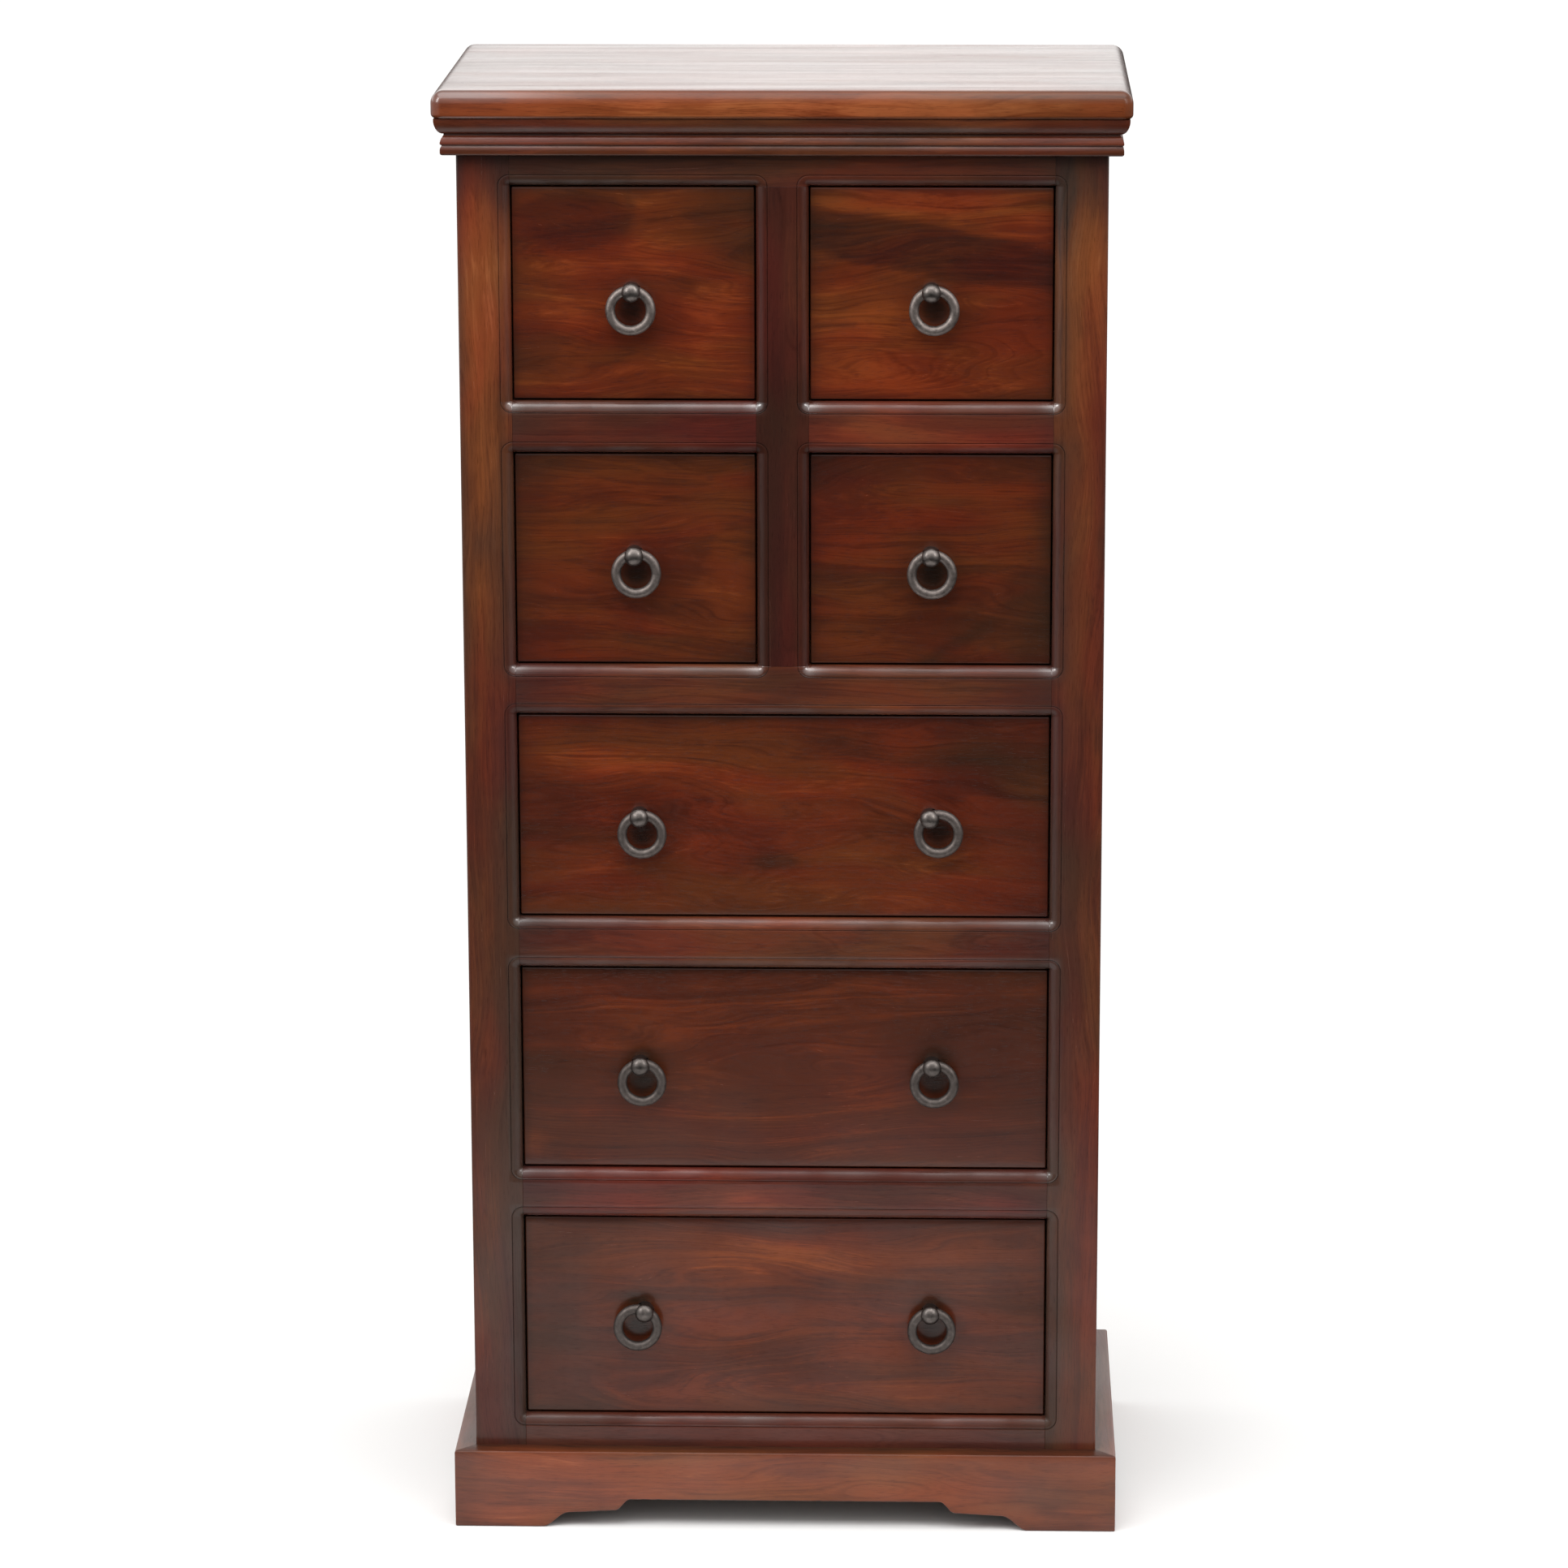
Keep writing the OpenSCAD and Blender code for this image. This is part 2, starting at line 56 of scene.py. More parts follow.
LEAN = [[-3, 9], [6, 3], [8, 29], [5, 7], [-23, 5]]


# ---------------------------------------------------------------- noise for vertex paint
def _hash(ix, iy, seed):
    h = (ix.astype(np.int64) * 374761393 + iy.astype(np.int64) * 668265263 + seed * 974634777) & 0xFFFFFFFF
    h = ((h ^ (h >> 13)) * 1274126177) & 0xFFFFFFFF
    return ((h ^ (h >> 16)) & 0xFFFFFF) / float(0xFFFFFF)


def vnoise(x, y, seed):
    """Smooth value noise from -1 to 1."""
    x, y = np.asarray(x, float), np.asarray(y, float)
    ix, iy = np.floor(x), np.floor(y)
    fx, fy = x - ix, y - iy
    fx, fy = fx * fx * (3 - 2 * fx), fy * fy * (3 - 2 * fy)
    a, b = _hash(ix, iy, seed), _hash(ix + 1, iy, seed)
    c, d = _hash(ix, iy + 1, seed), _hash(ix + 1, iy + 1, seed)
    return 2 * ((a * (1 - fx) + b * fx) * (1 - fy) + (c * (1 - fx) + d * fx) * fy) - 1


def fbm(x, y, seed, octaves=3):
    s, amp, tot = 0.0, 1.0, 0.0
    for k in range(octaves):
        s = s + amp * vnoise(np.asarray(x) * 2 ** k + 7.3 * k, np.asarray(y) * 2 ** k - 3.1 * k, seed + 17 * k)
        tot += amp
        amp *= 0.5
    return s / tot


# ---------------------------------------------------------------- mesh building
def lines(lo, hi, feats=(), start=(0.35,), end=(0.35,), step=6.0, levels=None, pad=13.2):
    """Positions of grid lines from lo to hi. feats are (origin, direction): the levels run out from there.
    Returns [(position, feature, level)]."""
    out = []
    for f, (X, s) in enumerate(feats):
        for k, L in enumerate(levels):
            out.append((X + s * L, f, k))
        if pad:
            p = X + s * pad
            if lo + 0.5 < p < hi - 0.5:
                out.append((p, -1, -1))
    have = [p for p, f, k in out]
    for base, offs, s in ((lo, start, 1), (hi, end, -1)):
        for o in (0.0,) + tuple(offs):
            p = base + s * o
            if not have or min(abs(p - q) for q in have) > 0.05:
                out.append((p, -1, -1))
    out = [o for o in out if lo - 1e-6 <= o[0] <= hi + 1e-6]
    out.sort()
    full = [out[0]]
    for a in out[1:]:
        g = a[0] - full[-1][0]
        if g < 0.02 and a[1] < 0:
            continue
        if g < 0.02 and full[-1][1] < 0:
            full[-1] = a
            continue
        n = int(round(g / step))
        if n > 1:
            p0 = full[-1][0]
            full += [(p0 + g * k / n, -1, -1) for k in range(1, n)]
        full.append(a)
    return full


def warp_grid(ul, vl, ufeats, vfeats, corners, levels):
    """Grid of (u, v) with the level lines turned into arcs at each corner (feature of u, feature of v)."""
    U = np.array([p for p, f, k in ul])[:, None] * np.ones(len(vl))[None, :]
    V = np.ones(len(ul))[:, None] * np.array([p for p, f, k in vl])[None, :]
    for fu, fv in corners:
        X, su = ufeats[fu]
        Z, sv = vfeats[fv]
        for i, (p, f, ku) in enumerate(ul):
            if f != fu:
                continue
            for j, (q, g, kv) in enumerate(vl):
                if g != fv:
                    continue
                k = max(ku, kv)
                if k == 0:
                    continue
                th = math.pi / 4 * kv / ku if ku >= kv else math.pi / 2 - math.pi / 4 * ku / kv
                U[i, j] = X + su * levels[k] * math.cos(th)
                V[i, j] = Z + sv * levels[k] * math.sin(th)
    return U, V


def block_faces(nu, nv):
    """Faces of a closed block: front grid, back grid, and the walls between their borders."""
    f = []
    n = nu * nv
    for i in range(nu - 1):
        for j in range(nv - 1):
            a, b, c, d = i * nv + j, (i + 1) * nv + j, (i + 1) * nv + j + 1, i * nv + j + 1
            f.append((a, b, c, d))
            f.append((n + d, n + c, n + b, n + a))
    rim = [i * nv for i in range(nu)] + [(nu - 1) * nv + j for j in range(1, nv)] \
        + [i * nv + nv - 1 for i in range(nu - 2, -1, -1)] + [j for j in range(nv - 2, 0, -1)]
    for a, b in zip(rim, rim[1:] + rim[:1]):
        f.append((b, a, n + a, n + b))
    return f


def make(name, co, faces, body, mat, attrs=None, angle=32, replaces=(), flip_check=True):
    """A mesh object from millimetre coordinates, smooth apart from its hard edges."""
    me = bpy.data.meshes.new(name)
    me.from_pydata((np.asarray(co, float) * MM).tolist(), [], faces)
    for key, val in (attrs or {}).items():
        a = me.attributes.new(key, "FLOAT", "POINT")
        a.data.foreach_set("value", np.asarray(val, np.float32).ravel())
    if flip_check:
        bm = bmesh.new()
        bm.from_mesh(me)
        bmesh.ops.recalc_face_normals(bm, faces=bm.faces)
        bm.to_mesh(me)
        bm.free()
    me.shade_smooth()
    me.set_sharp_from_angle(angle=math.radians(angle))
    me.update()
    ob = bpy.data.objects.new(name, me)
    bpy.context.scene.collection.objects.link(ob)
    me.materials.append(mat)
    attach(ob, body)
    if replaces:
        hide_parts(*replaces)
    return ob


AXES = {"-y": (0, 2, 1, 1), "+y": (0, 2, 1, -1), "+x": (1, 2, 0, -1), "-x": (1, 2, 0, 1), "+z": (0, 1, 2, -1), "-z": (0, 1, 2, 1)}


def slab(name, a, b, face, body, mat, r=1.6, rb=0.6, step=8.0, paint=None, wave=0.06, seed=1, replaces=(), cuts=(), round_sides=(1, 1, 1, 1)):
    """A board from corner a to corner b (mm). face names its show face, whose arris has radius r; the others have rb.
    paint(u, v, depth) gives the vertex paint."""
    iu, iv, iw, sw = AXES[face]
    n = 4
    lev = [r * math.sin(math.pi / 2 * k / n) for k in range(n + 1)]
    ufeats = [(a[iu] + r, -1), (b[iu] - r, 1)]
    vfeats = [(a[iv] + r, -1), (b[iv] - r, 1)]
    ul = lines(a[iu], b[iu], ufeats, (), (), step, lev, None)
    vl = lines(a[iv], b[iv], vfeats, (), (), step, lev, None)
    U, V = warp_grid(ul, vl, ufeats, vfeats, [(0, 0), (0, 1), (1, 0), (1, 1)], lev)
    du = np.maximum(0, np.maximum(a[iu] + r - U, U - (b[iu] - r)))
    dv = np.maximum(0, np.maximum(a[iv] + r - V, V - (b[iv] - r)))
    R = np.minimum(np.hypot(du, dv), r)
    T = b[iw] - a[iw]
    D = r - np.sqrt(np.maximum(0, r * r - R * R))
    core = np.clip(1 - np.hypot(du, dv) / r, 0, 1)
    D = D + wave * (0.5 + 0.5 * fbm(U / 90, V / 45, seed, 2)) * core
    B = T - rb + np.sqrt(np.maximum(0, rb * rb - (R * rb / r) ** 2))
    B = T - (T - B)
    w0 = a[iw] if sw > 0 else b[iw]
    P = []
    for d in (D, B):
        q = np.zeros(U.shape + (3,))
        q[..., iu], q[..., iv], q[..., iw] = U, V, w0 + sw * d
        P.append(q.reshape(-1, 3))
    co = np.concatenate(P)
    attrs = None
    if paint:
        pf = paint(U, V, D)
        pb = paint(U, V, B)
        attrs = {k: np.concatenate([np.broadcast_to(pf[k], U.shape).ravel(), np.broadcast_to(pb[k], U.shape).ravel()]) for k in pf}
    return make(name, co, block_faces(*U.shape), body, mat, attrs, replaces=replaces)


# ---------------------------------------------------------------- materials
def _n(nt, kind, x=0, y=0, **props):
    n = nt.nodes.new(kind)
    n.location = (x, y)
    for k, v in props.items():
        setattr(n, k, v)
    return n


def _math(nt, op, a, b=None, c=None, clamp=False):
    n = nt.nodes.new("ShaderNodeMath")
    n.operation = op
    n.use_clamp = clamp
    for i, v in enumerate((a, b, c)):
        if v is None:
            continue
        if isinstance(v, (int, float)):
            n.inputs[i].default_value = v
        else:
            nt.links.new(v, n.inputs[i])
    return n.outputs[0]


def _range(nt, v, a, b, c, d, smooth=False):
    n = nt.nodes.new("ShaderNodeMapRange")
    n.interpolation_type = "SMOOTHSTEP" if smooth else "LINEAR"
    n.clamp = True
    nt.links.new(v, n.inputs["Value"])
    for k, x in zip(("From Min", "From Max", "To Min", "To Max"), (a, b, c, d)):
        n.inputs[k].default_value = x
    return n.outputs["Result"]


def _noise(nt, vec, scale, detail=2.0, rough=0.5, dims="3D", dist=0.0, w=None):
    n = nt.nodes.new("ShaderNodeTexNoise")
    n.noise_dimensions = dims
    n.inputs["Scale"].default_value = scale
    n.inputs["Detail"].default_value = detail
    n.inputs["Roughness"].default_value = rough
    n.inputs["Distortion"].default_value = dist
    if vec is not None:
        nt.links.new(vec, n.inputs["Vector"])
    if w is not None:
        nt.links.new(w, n.inputs["W"])
    return n


def _combine(nt, x, y, z):
    n = nt.nodes.new("ShaderNodeCombineXYZ")
    for i, v in enumerate((x, y, z)):
        if isinstance(v, (int, float)):
            n.inputs[i].default_value = v
        else:
            nt.links.new(v, n.inputs[i])
    return n.outputs[0]


def _ramp(nt, fac, stops, interp="EASE"):
    n = nt.nodes.new("ShaderNodeValToRGB")
    cr = n.color_ramp
    cr.interpolation = interp
    while len(cr.elements) < len(stops):
        cr.elements.new(0.5)
    for e, (p, c) in zip(cr.elements, stops):
        e.position = p
        e.color = (c[0], c[1], c[2], 1)
    nt.links.new(fac, n.inputs["Fac"])
    return n.outputs["Color"]


def _mix(nt, fac, a, b, mode="MIX"):
    n = nt.nodes.new("ShaderNodeMix")
    n.data_type = "RGBA"
    n.blend_type = mode
    n.clamp_factor = True
    for key, v in (("Factor_Float", fac), ("A_Color", a), ("B_Color", b)):
        sock = [k for k in n.inputs if k.identifier == key][0]
        if isinstance(v, (int, float)):
            sock.default_value = v
        elif isinstance(v, tuple):
            sock.default_value = (v[0], v[1], v[2], 1)
        else:
            nt.links.new(v, sock)
    return [k for k in n.outputs if k.identifier == "Result_Color"][0]


def srgb(r, g, b):
    return tuple(((c / 255) / 12.92 if c <= 10.31 else (((c / 255) + 0.055) / 1.055) ** 2.4) for c in (r, g, b))


STAIN = [(0.0, srgb(50, 21, 12)), (0.25, srgb(66, 27, 12)), (0.50, srgb(85, 35, 13)), (0.75, srgb(109, 49, 18)), (1.0, srgb(134, 70, 32))]
FRAME = [(0.0, srgb(52, 26, 18)), (0.25, srgb(68, 33, 20)), (0.50, srgb(88, 42, 22)), (0.75, srgb(113, 56, 27)), (1.0, srgb(140, 78, 42))]
PLUM = [(0.0, srgb(50, 22, 16)), (0.25, srgb(64, 27, 18)), (0.50, srgb(82, 34, 20)), (0.75, srgb(106, 46, 24)), (1.0, srgb(132, 66, 36))]
BLACK = srgb(38, 23, 14)
GREYED = srgb(51, 36, 29)
RAW = [(0.0, srgb(84, 52, 33)), (0.4, srgb(112, 72, 46)), (0.7, srgb(134, 92, 60)), (1.0, srgb(156, 114, 78))]
PLY = [(0.0, srgb(92, 58, 38)), (0.5, srgb(122, 82, 54)), (1.0, srgb(148, 106, 74))]


def wood(name, grain="x", seed=0, centre=(0, 0), off=60.0, tilt=0.02, spacing=5.5, contrast=0.46, warp=1.25, stops=STAIN,
         gloss=0.24, coat=0.22, coat_rough=0.12, base=None, painted=True, bump=0.35, black=BLACK, pores=0.55, streak=0.42, shear=0.0, veins=0.24, hues=1.0):
    """Stained, lacquered hardwood. grain is the axis that the fibres follow. centre is where the tree's axis passes,
    in mm across the board, and off how far behind the face it lies. Vertex paint named warm and dark shifts the stain;
    dark also carries painted shade."""
    m = bpy.data.materials.new(name)
    m.use_nodes = True
    nt = m.node_tree
    nt.nodes.clear()
    out = _n(nt, "ShaderNodeOutputMaterial")
    bsdf = _n(nt, "ShaderNodeBsdfPrincipled")
    nt.links.new(bsdf.outputs[0], out.inputs[0])
    tc = _n(nt, "ShaderNodeTexCoord")
    sep = _n(nt, "ShaderNodeSeparateXYZ")
    nt.links.new(tc.outputs["Object"], sep.inputs[0])
    X, Y, Z = sep.outputs
    along, across, deep = {"x": (X, Z, Y), "z": (Z, X, Y), "y": (Y, Z, X), "xy": (X, Y, Z), "zy": (Z, Y, X)}[grain]
    rs = np.random.RandomState(1000 + seed)
    o = rs.uniform(-20, 20, 3)
    u = _math(nt, "ADD", along, float(o[0]))
    v = _math(nt, "SUBTRACT", across, centre[0] * MM)
    w = _math(nt, "SUBTRACT", deep, centre[1] * MM - off * MM)
    # slow wander of the rings
    P = _combine(nt, _math(nt, "MULTIPLY", u, 3.2), _math(nt, "MULTIPLY_ADD", v, 13.0, float(o[1])), _math(nt, "MULTIPLY_ADD", w, 13.0, float(o[2])))
    wn = _noise(nt, P, 1.0, 2.0, 0.55)
    sepn = _n(nt, "ShaderNodeSeparateColor")
    nt.links.new(wn.outputs["Color"], sepn.inputs[0])
    dv = _math(nt, "MULTIPLY_ADD", sepn.outputs[0], 0.075 * warp, -0.0375 * warp)
    dw = _math(nt, "MULTIPLY_ADD", sepn.outputs[1], 0.075 * warp, -0.0375 * warp)
    v2 = _math(nt, "ADD", _math(nt, "MULTIPLY_ADD", along, tilt, v), dv)
    w2 = _math(nt, "ADD", _math(nt, "MULTIPLY_ADD", along, shear, w), dw)
    r = _math(nt, "SQRT", _math(nt, "ADD", _math(nt, "MULTIPLY", v2, v2), _math(nt, "MULTIPLY", w2, w2)))
    rings = _noise(nt, None, 1000.0 / spacing, 3.0, 0.6, "1D", w=_math(nt, "ADD", r, float(abs(o[0]))))
    broad = _noise(nt, None, 1000.0 / (spacing * 5.2), 1.0, 0.5, "1D", w=_math(nt, "ADD", r, float(abs(o[1]))))
    # fibres and pores
    F = _combine(nt, _math(nt, "MULTIPLY", u, 9.0), _math(nt, "MULTIPLY_ADD", v2, 420.0, float(o[1])), _math(nt, "MULTIPLY", w2, 420.0))
    fib = _noise(nt, F, 1.0, 3.0, 0.62)
    G = _combine(nt, _math(nt, "MULTIPLY", u, 95.0), _math(nt, "MULTIPLY", v, 2300.0), _math(nt, "MULTIPLY", w, 2300.0))
    por = _noise(nt, G, 1.0, 1.0, 0.5)
    pore = _range(nt, por.outputs["Fac"], 0.60, 0.72, 0.0, 1.0)
    mottle = _noise(nt, _combine(nt, _math(nt, "MULTIPLY", u, 11.0), _math(nt, "MULTIPLY", v, 28.0), _math(nt, "MULTIPLY", w, 28.0)), 1.0, 3.0, 0.6)
    # thin dark lines that follow the rings, here and there
    lines1 = _noise(nt, None, 1000.0 / (spacing * 1.9), 2.0, 0.7, "1D", w=_math(nt, "ADD", r, float(abs(o[2]))))
    ridge = _math(nt, "ABSOLUTE", _math(nt, "SUBTRACT", lines1.outputs["Fac"], 0.5))
    vein = _range(nt, ridge, 0.0, 0.05, 1.0, 0.0, True)
    where = _noise(nt, _combine(nt, _math(nt, "MULTIPLY", u, 9.0), _math(nt, "MULTIPLY", v, 24.0), _math(nt, "MULTIPLY", w, 24.0)), 1.0, 1.0, 0.5)
    vein = _math(nt, "MULTIPLY", vein, _range(nt, where.outputs["Fac"], 0.38, 0.56, 0.0, 1.0, True))
    t = _math(nt, "MULTIPLY_ADD", rings.outputs["Fac"], contrast, -0.5 * contrast)
    t = _math(nt, "ADD", t, _math(nt, "MULTIPLY_ADD", broad.outputs["Fac"], contrast * 1.1, -0.55 * contrast))
    t = _math(nt, "ADD", t, _math(nt, "MULTIPLY_ADD", fib.outputs["Fac"], streak, -0.5 * streak))
    t = _math(nt, "ADD", t, _math(nt, "MULTIPLY_ADD", mottle.outputs["Fac"], 0.50, -0.25))
    if painted:
        aw = _n(nt, "ShaderNodeAttribute", attribute_name="warm")
        ad = _n(nt, "ShaderNodeAttribute", attribute_name="dark")
        t = _math(nt, "ADD", t, aw.outputs["Fac"], clamp=True)
    else:
        t = _math(nt, "ADD", t, 0.45 if base is None else base, clamp=True)
    col = _ramp(nt, t, stops)
    if painted:
        dn = _math(nt, "MULTIPLY_ADD", fib.outputs["Fac"], 0.9, -0.45)
        dk = _math(nt, "ADD", ad.outputs["Fac"], _math(nt, "MULTIPLY", dn, ad.outputs["Fac"]), clamp=True)
        col = _mix(nt, dk, col, black)
    hue = _noise(nt, _combine(nt, _math(nt, "MULTIPLY_ADD", u, 5.0, 3.7), _math(nt, "MULTIPLY", v2, 19.0), _math(nt, "MULTIPLY", w2, 19.0)), 1.0, 2.0, 0.55)
    tint = _mix(nt, _range(nt, hue.outputs["Fac"], 0.34, 0.66, 0.0, 1.0, True), (1.0, 0.78, 0.98), (0.90, 1.10, 1.15))
    col = _mix(nt, hues if painted else 0.18, col, tint, "MULTIPLY")
    col = _mix(nt, _math(nt, "MULTIPLY", vein, veins), col, (0.30, 0.24, 0.24), "MULTIPLY")
    col = _mix(nt, _math(nt, "MULTIPLY", pore, pores), col, (0.35, 0.28, 0.26), "MULTIPLY")
    nt.links.new(col, bsdf.inputs["Base Color"])
    rough = _math(nt, "MULTIPLY_ADD", fib.outputs["Fac"], 0.16, gloss - 0.08)
    nt.links.new(rough, bsdf.inputs["Roughness"])
    bsdf.inputs["IOR"].default_value = 1.48
    if painted:
        ash = _n(nt, "ShaderNodeAttribute", attribute_name="shine")
        nt.links.new(_math(nt, "MULTIPLY_ADD", ash.outputs["Fac"], 0.36, 0.36, clamp=True), bsdf.inputs["Specular IOR Level"])
        nt.links.new(_math(nt, "MULTIPLY_ADD", ash.outputs["Fac"], 2.0 * coat, coat, clamp=True), bsdf.inputs["Coat Weight"])
    else:
        bsdf.inputs["Specular IOR Level"].default_value = 0.36
        bsdf.inputs["Coat Weight"].default_value = coat
    bsdf.inputs["Coat Roughness"].default_value = coat_rough
    bsdf.inputs["Coat IOR"].default_value = 1.5
    bp = _n(nt, "ShaderNodeBump")
    bp.inputs["Strength"].default_value = bump
    bp.inputs["Distance"].default_value = 0.0002
    hgt = _math(nt, "ADD", _math(nt, "MULTIPLY", fib.outputs["Fac"], 0.6), _math(nt, "MULTIPLY", pore, -0.5))
    nt.links.new(hgt, bp.inputs["Height"])
    nt.links.new(bp.outputs[0], bsdf.inputs["Normal"])
    return m


def iron(name, base=(0.150, 0.126, 0.118), rough=0.43):
    m = bpy.data.materials.new(name)
    m.use_nodes = True
    nt = m.node_tree
    nt.nodes.clear()
    out = _n(nt, "ShaderNodeOutputMaterial")
    bsdf = _n(nt, "ShaderNodeBsdfPrincipled")
    nt.links.new(bsdf.outputs[0], out.inputs[0])
    tc = _n(nt, "ShaderNodeTexCoord")
    big = _noise(nt, tc.outputs["Object"], 210.0, 3.0, 0.6)
    small = _noise(nt, tc.outputs["Object"], 1400.0, 3.0, 0.65)
    col = _ramp(nt, _math(nt, "ADD", _math(nt, "MULTIPLY", big.outputs["Fac"], 0.7), _math(nt, "MULTIPLY", small.outputs["Fac"], 0.3)),
                [(0.30, tuple(c * 0.55 for c in base)), (0.52, base), (0.72, tuple(min(1, c * 1.7) for c in base))])
    nt.links.new(col, bsdf.inputs["Base Color"])
    bsdf.inputs["Metallic"].default_value = 1.0
    nt.links.new(_math(nt, "MULTIPLY_ADD", small.outputs["Fac"], 0.22, rough - 0.11), bsdf.inputs["Roughness"])
    bp = _n(nt, "ShaderNodeBump")
    bp.inputs["Strength"].default_value = 0.5
    bp.inputs["Distance"].default_value = 0.0003
    nt.links.new(_math(nt, "ADD", big.outputs["Fac"], _math(nt, "MULTIPLY", small.outputs["Fac"], 0.35)), bp.inputs["Height"])
    nt.links.new(bp.outputs[0], bsdf.inputs["Normal"])
    return m


# ---------------------------------------------------------------- vertex paint
def blob(u, v, cu, cv, ru, rv, amount, tilt=0.0, hard=0.0):
    """A patch of stain: centre, half sizes, amount, slope, and how firm its edge is."""
    uu, vv = u - cu, v - cv - tilt * (u - cu)
    q = (uu / ru) ** 2 + (vv / rv) ** 2
    t = np.clip((1.30 - np.sqrt(q)) / 0.42, 0, 1)
    return amount * ((1 - hard) * np.exp(-q) + hard * t * t * (3 - 2 * t))


def dulled(x, z, seed):
    """The lacquer is duller towards the floor and uneven everywhere."""
    return -0.30 * np.clip((520 - z) / 330, 0, 1) - 0.15 * np.clip((z - 780) / 60, 0, 1) * np.clip((1215 - z) / 15, 0, 1) + 0.16 * fbm(x / 60, z / 40, seed + 21, 3)


def drawer_paint(x0, x1, z0, z1, base, warm_spots, dark_spots, edge=0.30, seed=0, fade=11.0, rings=()):
    cx, cz, hx, hz = (x0 + x1) / 2, (z0 + z1) / 2, (x1 - x0) / 2, (z1 - z0) / 2

    def f(x, z, d):
        u, v = (x - cx) / hx, (z - cz) / hz
        k = 107.0 / hx
        uu = u + 0.055 * k * fbm(x / 42, z / 26, seed + 3, 3)
        vv = v + 0.085 * fbm(x / 70, z / 24, seed + 5, 4)
        w = base + 0.11 * fbm(x / 110, z / 20, seed, 4)
        for t in warm_spots:
            w = w + blob(uu, vv, *t)
        e0 = np.minimum(np.minimum(x - x0, x1 - x), np.minimum(z - z0, z1 - z))
        e = e0 + 5 * fbm(x / 30, z / 30, seed + 9, 3)
        # painted shade of the recess: the front is darkened towards its edges and more in its corners
        k = edge * np.exp(-np.maximum(e, 0) / fade) + 0.10 * np.exp(-e0 / 1.4)
        corner = np.exp(-(((x1 - x0) / 2 - abs(x - cx)) / 28) ** 2 - (((z1 - z0) / 2 - abs(z - cz)) / 24) ** 2)
        k = k + 0.16 * corner
        for t in dark_spots:
            k = k + blob(uu, vv, *t)
        k = k + 0.09 * fbm(x / 55, z / 12, seed + 12, 4)
        # painted shadow of each pull: dark inside its ring, a softer shadow below and to the right, and shade around
        # the post above it, stronger on the low drawers
        for rx, rz in rings:
            k = k + 0.62 * np.exp(-(((x - rx) / 14) ** 2 + ((z - rz) / 14) ** 2) ** 2) + 0.26 * np.exp(-((x - rx - 4) / 26) ** 2 - ((z - rz + 7) / 24) ** 2) \
                + (0.8 if z1 < 560 else 0.2) * np.exp(-((x - rx) / 15) ** 2 - ((z - rz - 21) / 12) ** 2)
        k = np.where(d > 2, np.maximum(k, 0.5), k)
        return {"warm": w, "dark": np.clip(k, 0, 0.92), "shine": dulled(x, z, seed)}
    return f


def near_holes(x, z, holes):
    d = np.full(np.shape(x), 1e3)
    for a, b, c, e in holes:
        d = np.minimum(d, np.hypot(np.maximum(0, np.maximum(a - x, x - b)), np.maximum(0, np.maximum(c - z, z - e))))
    return d


SMALL = [(-HOLE_X, -MID_X), (MID_X, HOLE_X)]
HOLES = [(a, b, LOW[r], HIGH[r]) for r in (0, 1) for a, b in SMALL] + [(-HOLE_X, HOLE_X, LOW[r], HIGH[r]) for r in (2, 3, 4)]

# Levels across the moulding, from the opening's edge out: quarter round, crest at 9.2, steep outer flank, groove, face
BEAD = [9.2 * (1 - math.sin(math.radians(t))) for t in (90, 80, 70, 61, 53, 45, 37, 29, 21, 13, 6, 0)] + [9.4, 9.55, 9.75, 9.85, 10.05, 10.2, 10.4, 10.8]


def bead_depth(d):
    t = np.arcsin(np.clip(1 - np.minimum(d, 9.2) / 9.2, 0, 1))
    inner = 0.15 + 8.85 * (1 - np.cos(t))
    outer = np.interp(d, [9.2, 9.4, 9.55, 9.75, 9.85, 10.05, 10.2, 10.4, 10.8], [0.15, 0.20, 0.32, 0.72, 0.92, 0.90, 0.45, 0.10, 0.0])
    return np.where(d < 9.2, inner, outer)


